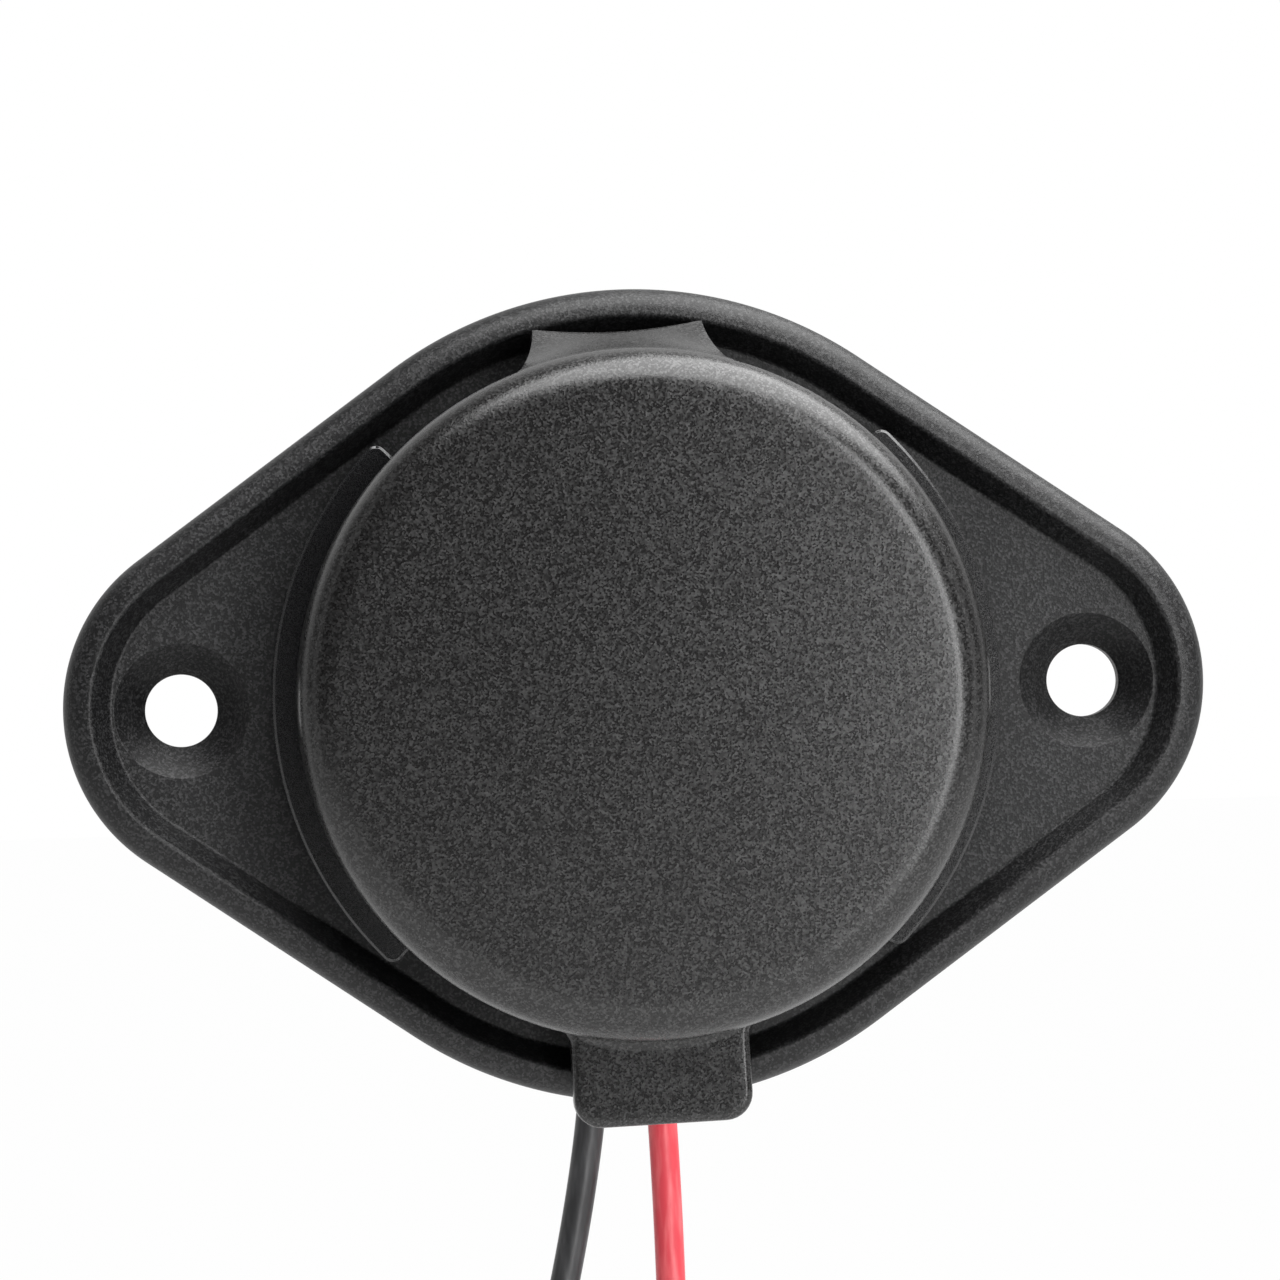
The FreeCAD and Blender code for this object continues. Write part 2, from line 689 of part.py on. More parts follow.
def make_strap():
    """Ring under the bezel with the bent strap that carries the cap."""
    body = new_body("cap_strap")
    ring = new_sketch(body, "RingSection", "XZ_Plane")
    draw_box(ring, dim["barrel_radius"] + dim["ring_gap"], ring_outer, strap_back, strap_front)
    revolve(body, "Ring", ring)
    start = dim["barrel_radius"] + dim["ring_gap"] + dim["ring_width"] / 2
    strip = new_sketch(body, "StrapSection", "YZ_Plane")
    outer_bend = dim["strap_bend"] + dim["strap_thickness"]
    corners = [(start, strap_front), (start, strap_back), (bend_centre, strap_back),
               (strap_outer, bend_level), (strap_outer, strap_end), (strap_inner, strap_end),
               (strap_inner, bend_level), (bend_centre, strap_front)]
    spots = [place_of(corner) for corner in corners]
    centre = place_of((bend_centre, bend_level))
    runs = []
    for i, spot in enumerate(spots):
        following = spots[(i + 1) % len(spots)]
        bend = {2: outer_bend, 6: dim["strap_bend"]}.get(i)
        if bend is None:
            runs.append((sketch_line(strip, spot, following), 1, 2))
        else:
            circle = Part.Circle(centre, FreeCAD.Vector(0, 0, 1), bend.number)
            arc = strip.addGeometry(Part.ArcOfCircle(circle, -math.pi / 2, 0), False)
            runs.append((arc, 1, 2) if i == 2 else (arc, 2, 1))
            pin(strip, arc, 3, bend_centre, bend_level)
    for run, following in zip(runs, runs[1:] + runs[:1]):
        strip.addConstraint(Sketcher.Constraint("Coincident", run[0], run[2], following[0], following[1]))
    for i, corner in enumerate(corners):
        if i in (0, 1, 4, 5):
            pin(strip, runs[i][0], runs[i][1], *corner)
    for i in (1, 7):
        strip.addConstraint(Sketcher.Constraint("Horizontal", runs[i][0]))
    pad(body, "Strap", strip, dim["strap_width"], both_ways=True)
    body.Placement = FreeCAD.Placement(FreeCAD.Vector(), CLOCKED)
    return body


def make_port_shell(name, side):
    """Sheet-steel shell of a USB socket with two leaf springs in each broad wall; side is 1 above the board."""
    body = new_body(name)
    level = port_level * side
    half_width, half_height = port_half()
    outline = new_sketch(body, "PortOutline", level=port_front)
    draw_box(outline, -half_width, half_width, level - half_height, level + half_height)
    block = pad(body, "PortBlock", outline, dim["port_length"], reversed_way=True)
    rounded = round_edges(body, "PortCorners", block, dim["port_corner"], is_upright)
    inside = new_sketch(body, "PortInside", level=port_front)
    inner_width = half_width - dim["port_wall"]
    inner_height = half_height - dim["port_wall"]
    draw_box(inside, -inner_width, inner_width, level - inner_height, level + inner_height)
    hollow = pocket(body, "PortHollow", inside)
    assert hollow.Shape.Volume < rounded.Shape.Volume / 2
    springs = new_sketch(body, "SpringSlots", "XZ_Plane")
    near = port_front - dim["spring_setback"]
    far = near - dim["spring_length"]
    slot = dim["spring_slot"]
    for middle in (dim["spring_offset"], -dim["spring_offset"]):
        left = middle - dim["spring_width"] / 2
        right = middle + dim["spring_width"] / 2
        draw_outline(springs, [(left - slot, near), (left, near), (left, far), (right, far), (right, near),
                               (right + slot, near), (right + slot, far - slot), (left - slot, far - slot)])
    cut = pocket(body, "Springs", springs)
    cut.SideType = "Symmetric"
    doc.recompute()
    return body


def tongue_face():
    """Level of the tongue's contact side, counted from the board's middle."""
    inner = port_level + dim["port_height"] / 2 - dim["port_wall"]
    return inner - dim["tongue_roof"] - dim["tongue_thickness"]


def contact_middles():
    """Middles of the four contacts across the port."""
    return [-dim["contact_outer"], -dim["contact_inner"], dim["contact_inner"], dim["contact_outer"]]


def make_tongue(name, side):
    """Moulded block that closes the back of a port, with the tongue that carries the contacts."""
    body = new_body(name)
    half_width, half_height = port_half(-(dim["port_wall"] + dim["block_gap"]))
    level = port_level * side
    back = new_sketch(body, "BlockOutline", level=port_back)
    draw_box(back, -half_width, half_width, level - half_height, level + half_height)
    pad(body, "Block", back, dim["block_length"])
    plate = new_sketch(body, "TongueOutline", level=port_back + dim["block_length"] / 2)
    face = tongue_face()
    half = dim["tongue_width"] / 2
    draw_box(plate, -half, half, face * side, (face + dim["tongue_thickness"]) * side)
    reach = dim["port_length"] - dim["tongue_setback"] - dim["block_length"] / 2
    whole = pad(body, "Tongue", plate, reach)
    ways = new_sketch(body, "ContactWays", level=port_back + dim["block_length"])
    grown = dim["contact_width"] / 2 + dim["block_gap"]
    lower = face - dim["contact_thickness"] - dim["block_gap"]
    for middle in contact_middles():
        draw_box(ways, middle - grown, middle + grown, lower * side, face * side)
    cut = pocket(body, "Ways", ways, dim["block_length"])
    assert cut.Shape.Volume < whole.Shape.Volume
    return body


def new_box(name, x, y, z):
    """A plain box between three pairs of limits."""
    made = doc.addObject("Part::Box", name)
    for prop, axis, (low, high) in (("Length", "x", x), ("Width", "y", y), ("Height", "z", z)):
        bind(made, prop, Size.of(high) - low)
        bind(made, f"Placement.Base.{axis}", low)
    return made


def new_group(name, members):
    """Separate solids that share one node."""
    group = doc.addObject("Part::Compound", name)
    group.Label = name
    group.Links = members
    doc.recompute()
    group.Placement = FreeCAD.Placement(FreeCAD.Vector(), FRONT)
    return group


def fused(name, members):
    """One solid out of several that meet."""
    made = doc.addObject("Part::MultiFuse", name)
    made.Shapes = members
    return made


def ordered(low, high, side):
    """Limits of a span above the board, or of its mirror image below."""
    return (low, high) if side > 0 else (-high, -low)


def make_contacts(name, side):
    """Four contacts: a strip along the tongue, through the block and down to the board."""
    face = tongue_face()
    strip_y = ordered(face - dim["contact_thickness"], face, side)
    tail_y = ordered(board_face, face, side)
    front = port_front - dim["tongue_setback"] - dim["contact_setback"]
    back = port_back - dim["contact_width"]
    members = []
    for i, middle in enumerate(contact_middles()):
        across = (middle - dim["contact_width"] / 2, middle + dim["contact_width"] / 2)
        strip = new_box(f"{name}_strip{i}", across, strip_y, (back, front))
        tail = new_box(f"{name}_tail{i}", across, tail_y, (back, back + dim["contact_thickness"]))
        members.append(fused(f"{name}_contact{i}", [strip, tail]))
    return new_group(name, members)


def make_board():
    """Circuit board that fills the barrel between face plate and end cover."""
    body = new_body("circuit_board")
    outline = new_sketch(body, "BoardOutline", "XZ_Plane")
    draw_box(outline, -board_half, board_half, board_back, face_back - dim["board_end_gap"])
    pad(body, "Board", outline, dim["board_thickness"], both_ways=True)
    return body


def board_sketch(body, name, side, height=0.0):
    """A sketch in the board's plane, on that side of the board and a height above it."""
    return new_sketch(body, name, "XZ_Plane", (board_face + height) * -side)


def raise_on(body, name, sketch, height, side):
    """Material raised from a board sketch, away from the board."""
    return pad(body, name, sketch, height, reversed_way=side > 0)


def draw_middle_box(sketch, x, z, width, length):
    """A rectangle about a middle point."""
    draw_box(sketch, x - width / 2, x + width / 2, z - length / 2, z + length / 2)


def make_choke(x, z):
    """Shielded power choke above the board."""
    body = new_body("choke")
    outline = board_sketch(body, "ChokeOutline", 1)
    draw_middle_box(outline, x, z, dim["choke_width"], dim["choke_width"])
    block = raise_on(body, "ChokeBlock", outline, dim["choke_height"], 1)
    round_edges(body, "ChokeCorners", block, dim["choke_corner"],
                lambda e: e.BoundBox.YLength > 1 and e.BoundBox.XLength < 1e-4)
    return body


def make_can(name, x, z, side):
    """Electrolytic capacitor: a can on a square foot."""
    body = new_body(name)
    foot = board_sketch(body, "FootOutline", side)
    draw_middle_box(foot, x, z, dim["can_diameter"] + 0.3, dim["can_diameter"] + 0.3)
    raise_on(body, "Foot", foot, dim["can_base"], side)
    wall = board_sketch(body, "CanCircle", side)
    draw_circle(wall, x, z, dim["can_diameter"] / 2)
    raise_on(body, "Can", wall, dim["can_height"], side)
    return body


def make_chip(x, z):
    """Regulator with eight flat leads, below the board."""
    body = new_body("regulator_chip")
    leads = board_sketch(body, "LeadOutlines", -1)
    span = dim["chip_width"] / 2 + dim["chip_pin_reach"]
    for i in range(4):
        middle = z + dim["chip_pin_pitch"] * (i - 1.5)
        draw_box(leads, x - span, x + span, middle - dim["chip_pin_width"] / 2, middle + dim["chip_pin_width"] / 2)
    case = board_sketch(body, "CaseOutline", -1)
    draw_middle_box(case, x, z, dim["chip_width"], dim["chip_length"])
    raise_on(body, "Case", case, dim["chip_height"], -1)
    raise_on(body, "Leads", leads, dim["chip_pin_thickness"], -1)
    return body


def make_diode(x, z):
    """Rectifier with a folded tab at each end, below the board."""
    body = new_body("rectifier_diode")
    case = board_sketch(body, "DiodeOutline", -1)
    draw_middle_box(case, x, z, dim["diode_width"], dim["diode_length"])
    raise_on(body, "DiodeCase", case, dim["diode_height"], -1)
    tabs = board_sketch(body, "TabOutlines", -1)
    draw_middle_box(tabs, x, z, dim["diode_width"] / 2, dim["diode_length"] + dim["diode_tab"] * 2)
    raise_on(body, "DiodeTabs", tabs, dim["diode_height"] / 2, -1)
    return body


def make_pellets(spots, z):
    """Ceramic chip capacitors in a row above the board."""
    members = []
    rise = (board_face, board_face + dim["pellet_height"])
    for i, x in enumerate(spots):
        members.append(new_box(f"pellet{i}", (x - dim["pellet_width"] / 2, x + dim["pellet_width"] / 2), rise,
                               (z - dim["pellet_length"] / 2, z + dim["pellet_length"] / 2)))
    return new_group("chip_capacitors", members)


def make_cover():
    """Disc that closes the barrel, with a spigot inside it and a hole for the grommet."""
    body = new_body("end_cover")
    back = barrel_back - dim["cover_thickness"]
    spigot = bore_radius - dim["spigot_gap"]
    spigot_front = barrel_back + dim["spigot_length"]
    section = new_sketch(body, "CoverSection", "XZ_Plane")
    draw_outline(section, [(None, back), (core_radius, back), (core_radius, barrel_back), (spigot, barrel_back),
                           (spigot, spigot_front), (spigot - dim["spigot_wall"], spigot_front),
                           (spigot - dim["spigot_wall"], barrel_back), (None, barrel_back)])
    disc = revolve(body, "Disc", section)
    round_edges(body, "CoverEdge", disc, dim["cover_round"], lambda e: at_level(e, back))
    hole = new_sketch(body, "GrommetHole", level=barrel_back)
    draw_circle(hole, None, wire_level, dim["grommet_neck"])
    pocket(body, "Hole", hole)
    return body


def make_grommet():
    """Rubber bush that holds both leads in the end cover."""
    body = new_body("wire_grommet")
    inner_lip = (dim["grommet_neck"] + dim["grommet_lip"]) / 2
    lip_back = barrel_back - dim["cover_thickness"] - dim["grommet_lip_length"]
    steps = [
        ("Neck", dim["grommet_neck"] - dim["grommet_gap"], barrel_back, dim["cover_thickness"]),
        ("InnerLip", inner_lip, barrel_back + dim["grommet_lip_length"], dim["grommet_lip_length"]),
        ("OuterLip", dim["grommet_lip"], barrel_back - dim["cover_thickness"], dim["grommet_lip_length"]),
        ("Tail", dim["grommet_tail"], lip_back, dim["grommet_tail_length"]),
    ]
    for step, radius, level, length in steps:
        circle = new_sketch(body, f"{step}Circle", level=level)
        draw_circle(circle, None, wire_level, radius)
        last = pad(body, step, circle, length, reversed_way=True)
    bores = new_sketch(body, "WireBores", level=barrel_back + dim["grommet_lip_length"])
    for side in (wire_side, -wire_side):
        draw_circle(bores, side, wire_level, dim["wire_diameter"] / 2 + dim["wire_gap"])
    cut = pocket(body, "Bores", bores)
    assert cut.Shape.Volume < last.Shape.Volume
    return body


def make_solder_tails():
    """Stripped inner ends of the leads, each in its drop of solder on the board."""
    start = barrel_back - dim["lead_start"]
    stop = board_back + dim["tail_lap"]
    members = []
    for i, side in enumerate((-wire_side, wire_side)):
        core = doc.addObject("Part::Cylinder", f"tail_core{i}")
        bind(core, "Radius", dim["core_diameter"] / 2)
        bind(core, "Height", stop - start)
        bind(core, "Placement.Base.x", side)
        bind(core, "Placement.Base.y", wire_level)
        bind(core, "Placement.Base.z", start)
        half = dim["solder_width"] / 2
        drop = new_box(f"tail_drop{i}", (side - half, side + half), (wire_level, -board_face),
                       (stop - dim["tail_lap"], stop))
        members.append(fused(f"tail{i}", [core, drop]))
    return new_group("solder_tails", members)


def lead_points(side, drape):
    """Route of a lead: inside the cover, straight out of the grommet, then down the drape."""
    tail_end = barrel_back - dim["cover_thickness"] - dim["grommet_lip_length"] - dim["grommet_tail_length"]
    x = side * wire_side.number
    start = FreeCAD.Vector(x, (dim["lead_start"] - barrel_back).number, wire_level.number)
    leave = FreeCAD.Vector(x, (dim["lead_straight"] - tail_end).number, wire_level.number)
    return [start, leave] + [leave + FreeCAD.Vector(*step) for step in drape]


def rounded_path(name, points):
    """Straight runs joined by tangent arcs, each with the radius its shorter run allows."""
    edges = []
    radii = []
    last = points[0]
    for before, here, after in zip(points, points[1:], points[2:]):
        into = (here - before).normalize()
        out = (after - here).normalize()
        half_turn = into.getAngle(out) / 2
        cut = 0.45 * min((here - before).Length, (after - here).Length)
        radii.append(cut / math.tan(half_turn))
        start = here - into * cut
        stop = here + out * cut
        towards = (out - into).normalize()
        centre = here + towards * (radii[-1] / math.cos(half_turn))
        middle = centre - towards * radii[-1]
        edges.append(Part.LineSegment(last, start).toShape())
        edges.append(Part.Arc(start, middle, stop).toShape())
        last = stop
    edges.append(Part.LineSegment(last, points[-1]).toShape())
    print(name, "bend radii", [round(radius, 1) for radius in radii])
    return Part.Wire(edges)


def make_lead(name, points):
    """Insulated lead along its route."""
    radius = dim["wire_diameter"].number / 2
    path = rounded_path(name, points)
    ring = Part.Wire(Part.makeCircle(radius, points[0], points[1] - points[0]))
    lead = doc.addObject("Part::Feature", name)
    lead.Label = name
    lead.Shape = path.makePipeShell([ring], True, False)
    lead.Placement = FreeCAD.Placement()
    full = math.pi * radius ** 2 * path.Length
    print(name, "length", round(path.Length, 1), "volume ratio", round(lead.Shape.Volume / full, 4))
    assert abs(lead.Shape.Volume / full - 1) < 0.01
    return lead


def make_lead_end(name, points):
    """Stripped and tinned end of a lead."""
    end = doc.addObject("Part::Feature", name)
    end.Label = name
    end.Shape = Part.makeCylinder(dim["core_diameter"].number / 2, dim["core_bare_length"].number,
                                  points[-1], points[-1] - points[-2])
    end.Placement = FreeCAD.Placement()
    return end


def build():
    """Makes every piece and returns them in the order of the report's list."""
    red = lead_points(1, RED_DRAPE)
    black = lead_points(-1, BLACK_DRAPE)
    choke_x = dim["choke_inset"] + dim["choke_width"] / 2 - board_half
    choke_z = board_back + dim["choke_setback"] + dim["choke_width"] / 2
    can_x = board_half - dim["can_inset"] - dim["can_diameter"] / 2
    can_z = board_back + dim["can_setback"] + dim["can_diameter"] / 2
    chip_z = board_back + dim["chip_setback"] + dim["chip_length"] / 2
    diode_x = dim["diode_inset"] + dim["diode_width"] / 2 - board_half
    diode_z = board_back + dim["diode_setback"] + dim["diode_length"] / 2
    chip_span = dim["chip_width"] / 2 + dim["chip_pin_reach"]
    chip_x = diode_x + dim["diode_width"] / 2 + dim["chip_gap"] + chip_span
    pellet_x = [-dim["pellet_pitch"], Size.of(0), dim["pellet_pitch"]]
    return [
        make_flange(), make_housing(), make_nut(), make_face_plate(), make_cap(), make_strap(),
        make_port_shell("usb_shell_upper", 1), make_port_shell("usb_shell_lower", -1),
        make_tongue("usb_tongue_upper", 1), make_tongue("usb_tongue_lower", -1),
        make_contacts("usb_contacts_upper", 1), make_contacts("usb_contacts_lower", -1),
        make_board(), make_choke(choke_x, choke_z),
        make_can("output_capacitor", can_x, can_z, 1), make_can("input_capacitor", can_x, can_z, -1),
        make_chip(chip_x, chip_z), make_diode(diode_x, diode_z),
        make_pellets(pellet_x, board_back + dim["pellet_inset"]),
        make_cover(), make_grommet(), make_solder_tails(),
        make_lead("red_wire", red), make_lead("black_wire", black),
        make_lead_end("red_wire_end", red), make_lead_end("black_wire_end", black),
    ]


def check(pieces):
    """Stops the run if any object of the document is in error or any piece is not a sound solid."""
    for item in doc.Objects:
        if "Invalid" in item.State or "Error" in item.State:
            raise RuntimeError(f"{item.Name} is {item.State}")
    for piece in pieces:
        if piece.Shape.isNull() or not piece.Shape.isValid() or not piece.Shape.Solids:
            raise RuntimeError(f"{piece.Label} is not a sound solid")


def write(pieces):
    """Writes one file for each piece."""
    os.makedirs("parts", exist_ok=True)
    for piece in pieces:
        piece.Shape.exportStep(f"parts/{piece.Label}.step")
        print(piece.Label, "solids", len(piece.Shape.Solids), "volume", round(piece.Shape.Volume, 2))


if __name__ == "__main__":
    PIECES = build()
    doc.recompute()
    check(PIECES)
    write(PIECES)
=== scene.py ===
"""Looks of a flush dual USB socket with a hinged dust cap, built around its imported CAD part."""

import logging
import math
from dataclasses import dataclass, field
from enum import Enum
from typing import Iterable, Sequence

import bmesh
import bpy
from mathutils import Euler, Matrix, Vector


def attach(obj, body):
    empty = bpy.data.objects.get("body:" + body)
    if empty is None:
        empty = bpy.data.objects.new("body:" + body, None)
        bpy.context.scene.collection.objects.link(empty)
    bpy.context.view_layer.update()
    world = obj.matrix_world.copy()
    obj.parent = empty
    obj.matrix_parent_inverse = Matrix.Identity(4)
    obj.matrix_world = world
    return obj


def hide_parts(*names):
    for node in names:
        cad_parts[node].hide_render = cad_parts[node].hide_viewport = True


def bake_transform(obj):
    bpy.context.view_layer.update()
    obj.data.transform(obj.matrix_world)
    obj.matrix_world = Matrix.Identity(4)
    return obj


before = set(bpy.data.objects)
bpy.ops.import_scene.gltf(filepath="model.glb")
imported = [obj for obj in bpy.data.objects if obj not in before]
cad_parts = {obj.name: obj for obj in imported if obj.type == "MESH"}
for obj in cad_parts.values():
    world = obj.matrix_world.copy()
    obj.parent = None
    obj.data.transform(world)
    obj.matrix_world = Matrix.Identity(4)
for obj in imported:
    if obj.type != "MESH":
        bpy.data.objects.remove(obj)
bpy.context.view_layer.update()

MM = 0.001
LOG = logging.getLogger("dual_usb_socket")

Point2 = tuple[float, float]
Point3 = tuple[float, float, float]
Colour = tuple[float, float, float]


class Body(Enum):
    """Moving bodies of the part."""

    BASE = "base"
    CAP = "cap"


def placed(point: Point3, turn: float = 0.0) -> Vector:
    """Carries a point from the socket's face frame to the shared frame.

    Args:
        point: x to the right, y up and z towards the viewer, in millimetres.
        turn: Turn about the socket's axis, in radians.

    Returns:
        The point in the shared frame, in metres.
    """
    x, y, z = point
    cos, sin = math.cos(turn), math.sin(turn)
    return Vector((x * cos - y * sin, -z, x * sin + y * cos)) * MM


def polar(radius: float, angle: float) -> Point2:
    """Gives the point at a radius and an angle in radians."""
    return radius * math.cos(angle), radius * math.sin(angle)


def span(first: float, last: float, steps: int) -> list[float]:
    """Gives evenly spaced values from first to last, both included."""
    return [first + (last - first) * i / steps for i in range(steps + 1)]


def arc(centre: Point2, radius: float, first: float, last: float, steps: int) -> list[Point2]:
    """Samples an arc.

    Args:
        centre: Centre of the arc.
        radius: Radius of the arc.
        first: Angle of its first point, in radians.
        last: Angle of its last point, in radians.
        steps: Number of chords.

    Returns:
        The points from first to last.
    """
    return [(centre[0] + radius * math.cos(a), centre[1] + radius * math.sin(a))
            for a in span(first, last, steps)]


def rounded(corners: Sequence[tuple[float, float, float]], steps: int = 5) -> list[Point2]:
    """Rounds the inner corners of an open profile.

    Args:
        corners: Each corner's two coordinates and its radius.
        steps: Chords for each rounded corner.

    Returns:
        The profile's points.
    """
    points: list[Point2] = []
    for i, (a, b, radius) in enumerate(corners):
        here = Vector((a, b))
        if radius <= 0 or i in (0, len(corners) - 1):
            points.append((a, b))
            continue
        back = (Vector(corners[i - 1][:2]) - here).normalized()
        on = (Vector(corners[i + 1][:2]) - here).normalized()
        half = back.angle(on) / 2
        centre = here + (back + on).normalized() * (radius / math.sin(half))
        start = here + back * (radius / math.tan(half)) - centre
        stop = here + on * (radius / math.tan(half)) - centre
        first = math.atan2(start.y, start.x)
        swing = (math.atan2(stop.y, stop.x) - first + math.pi) % math.tau - math.pi
        points += arc((centre.x, centre.y), radius, first, first + swing, steps)
    return points


def smoothstep(value: float) -> float:
    """Eases a value from 0 to 1 and holds it there."""
    t = min(max(value, 0.0), 1.0)
    return t * t * (3 - 2 * t)


class Shape:
    """Mesh built from rings of points in the socket's face frame."""

    def __init__(self, turn: float = 0.0) -> None:
        """Starts an empty shape.

        Args:
            turn: Turn of the piece about the socket's axis, in radians.
        """
        self.mesh = bmesh.new()
        self.turn = turn

    def ring(self, points: Iterable[Point3]) -> list[bmesh.types.BMVert]:
        """Adds a row of points and returns their vertices."""
        return [self.mesh.verts.new(placed(point, self.turn)) for point in points]

    def skin(self, rings: Sequence[list[bmesh.types.BMVert]], closed: bool = True) -> None:
        """Joins neighbouring rings with faces.

        Args:
            rings: Rings of equal length, or of one vertex at a pole.
            closed: Whether each ring runs back to its first point.
        """
        for low, high in zip(rings, rings[1:]):
            count = max(len(low), len(high))
            for i in range(count if closed else count - 1):
                j = (i + 1) % count
                corners = [low[i % len(low)], low[j % len(low)], high[j % len(high)], high[i % len(high)]]
                self.mesh.faces.new(list(dict.fromkeys(corners)))

    def turned(self, profile: Sequence[Point2], steps: int, centre: Point2 = (0.0, 0.0),
               closed: bool = False) -> list[list[bmesh.types.BMVert]]:
        """Turns a profile about an axis along z.

        Args:
            profile: Radius and height of each point.
            steps: Number of steps round the axis.
            centre: Where the axis stands.
            closed: Whether the profile runs back to its first point.

        Returns:
            The rings, in the profile's order.
        """
        rings = []
        for radius, height in profile:
            if radius < 1e-6:
                rings.append(self.ring([(*centre, height)]))
            else:
                round_it = arc(centre, radius, 0, math.tau * (steps - 1) / steps, steps - 1)
                rings.append(self.ring((x, y, height) for x, y in round_it))
        self.skin(rings + rings[:1] if closed else rings)
        return rings

    def fill(self, *loops: list[bmesh.types.BMVert]) -> None:
        """Fills the flat area between an outer loop and the loops inside it."""
        edges = []
        for loop in loops:
            for first, last in zip(loop, loop[1:] + loop[:1]):
                edges.append(self.mesh.edges.get((first, last)) or self.mesh.edges.new((first, last)))
        bmesh.ops.triangle_fill(self.mesh, use_beauty=True, use_dissolve=False, edges=edges)

    def finish(self, name: str, material: bpy.types.Material, crease: float = 32.0) -> bpy.types.Object:
        """Closes the mesh and makes the object.

        Args:
            name: Name of the piece.
            material: Its material.
            crease: Angle in degrees past which an edge stays sharp.

        Returns:
            The object, at the origin.
        """
        bmesh.ops.remove_doubles(self.mesh, verts=self.mesh.verts, dist=1e-7)
        bmesh.ops.recalc_face_normals(self.mesh, faces=self.mesh.faces)
        data = bpy.data.meshes.new(name)
        self.mesh.to_mesh(data)
        self.mesh.free()
        return piece_of(name, data, material, crease)


def piece_of(name: str, data: bpy.types.Mesh, material: bpy.types.Material,
             crease: float) -> bpy.types.Object:
    """Makes an object of a finished mesh.

    Args:
        name: Name of the piece.
        data: Its mesh.
        material: Its material.
        crease: Angle in degrees past which an edge stays sharp.

    Returns:
        The object, linked to the scene.
    """
    data.name = name
    data.materials.clear()
    data.materials.append(material)
    data.polygons.foreach_set("use_smooth", [True] * len(data.polygons))
    data.set_sharp_from_angle(angle=math.radians(crease))
    piece = bpy.data.objects.new(name, data)
    bpy.context.scene.collection.objects.link(piece)
    return piece


def settle(piece: bpy.types.Object, body: Body, slot: str, *nodes: str) -> bpy.types.Object:
    """Puts a piece on its body and in the place of CAD nodes.

    Args:
        piece: The piece.
        body: Body that carries it.
        slot: Material slot of the record; not used.
        nodes: CAD nodes that it stands for.

    Returns:
        The piece.
    """
    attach(piece, body.value)
    if nodes:
        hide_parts(*nodes)
    faces = len(getattr(piece.data, "polygons", []))
    LOG.info("%s rides on %s with %d faces", piece.name, body.value, faces)
    return piece


class NodeBoard:
    """Adds and links the nodes of one tree."""

    def __init__(self, tree: bpy.types.NodeTree) -> None:
        """Takes the tree that the nodes go into."""
        self.tree = tree

    def feed(self, node: bpy.types.Node, inputs: dict[str | int, object]) -> None:
        """Sets or links inputs of a node.

        Args:
            node: The node.
            inputs: Values or output sockets for its inputs, by name or number.
        """
        for key, value in inputs.items():
            if isinstance(value, bpy.types.NodeSocket):
                self.tree.links.new(value, node.inputs[key])
            else:
                node.inputs[key].default_value = value

    def add(self, kind: str, inputs: dict[str | int, object] | None = None,
            **settings: object) -> bpy.types.Node:
        """Adds a node.

        Args:
            kind: Blender's name of the node type.
            inputs: Values or output sockets for its inputs, by name or number.
            settings: Properties of the node.

        Returns:
            The node.
        """
        node = self.tree.nodes.new(kind)
        for key, value in settings.items():
            setattr(node, key, value)
        self.feed(node, inputs or {})
        return node

    def calculate(self, operation: str, first: object, second: object) -> bpy.types.NodeSocket:
        """Works on two values or sockets with one operation and returns the result."""
        return self.add("ShaderNodeMath", {0: first, 1: second}, operation=operation).outputs[0]

    def bump(self, height: bpy.types.NodeSocket, depth: float, strength: float) -> bpy.types.NodeSocket:
        """Makes a relief whose depth is in millimetres and returns the bent normal."""
        inputs = {"Height": height, "Distance": depth * MM, "Strength": strength}
        return self.add("ShaderNodeBump", inputs).outputs[0]

    def ramp(self, source: bpy.types.NodeSocket, stops: Sequence[Point2]) -> bpy.types.NodeSocket:
        """Maps a value through a ramp of greys.

        Args:
            source: Value from 0 to 1.
            stops: Place and grey of each stop.

        Returns:
            The ramp's output.
        """
        node = self.add("ShaderNodeValToRGB", {0: source})
        ramp = node.color_ramp
        ramp.elements[0].position, ramp.elements[1].position = stops[0][0], stops[-1][0]
        for place, _ in stops[1:-1]:
            ramp.elements.new(place)
        for element, (_, grey) in zip(ramp.elements, stops):
            element.color = (grey, grey, grey, 1)
        return node.outputs[0]

    def blend(self, factor: bpy.types.NodeSocket, first: Colour, second: Colour) -> bpy.types.NodeSocket:
        """Mixes two colours by a factor and returns the result."""
        node = self.add("ShaderNodeMix", {0: factor, 6: (*first, 1), 7: (*second, 1)}, data_type="RGBA")
        return node.outputs[2]

    def spread(self, source: bpy.types.NodeSocket, low: float, high: float) -> bpy.types.NodeSocket:
        """Maps a value from 0..1 to low..high and returns the result."""
        return self.add("ShaderNodeMapRange", {0: source, 3: low, 4: high}).outputs[0]

    def noise(self, place: bpy.types.NodeSocket, grain: float, detail: float = 2.0) -> bpy.types.NodeSocket:
        """Gives noise whose grain is in millimetres."""
        inputs = {"Vector": place, "Scale": 1 / (grain * MM), "Detail": detail}
        return self.add("ShaderNodeTexNoise", inputs).outputs[0]


def new_material(name: str) -> tuple[bpy.types.Material, NodeBoard, bpy.types.Node, bpy.types.NodeSocket]:
    """Starts a material.

    Args:
        name: Name of the material.

    Returns:
        The material, its board, its surface shader and the object coordinates.
    """
    material = bpy.data.materials.new(name)
    material.use_nodes = True
    board = NodeBoard(material.node_tree)
    place = board.add("ShaderNodeTexCoord").outputs["Object"]
    return material, board, material.node_tree.nodes["Principled BSDF"], place


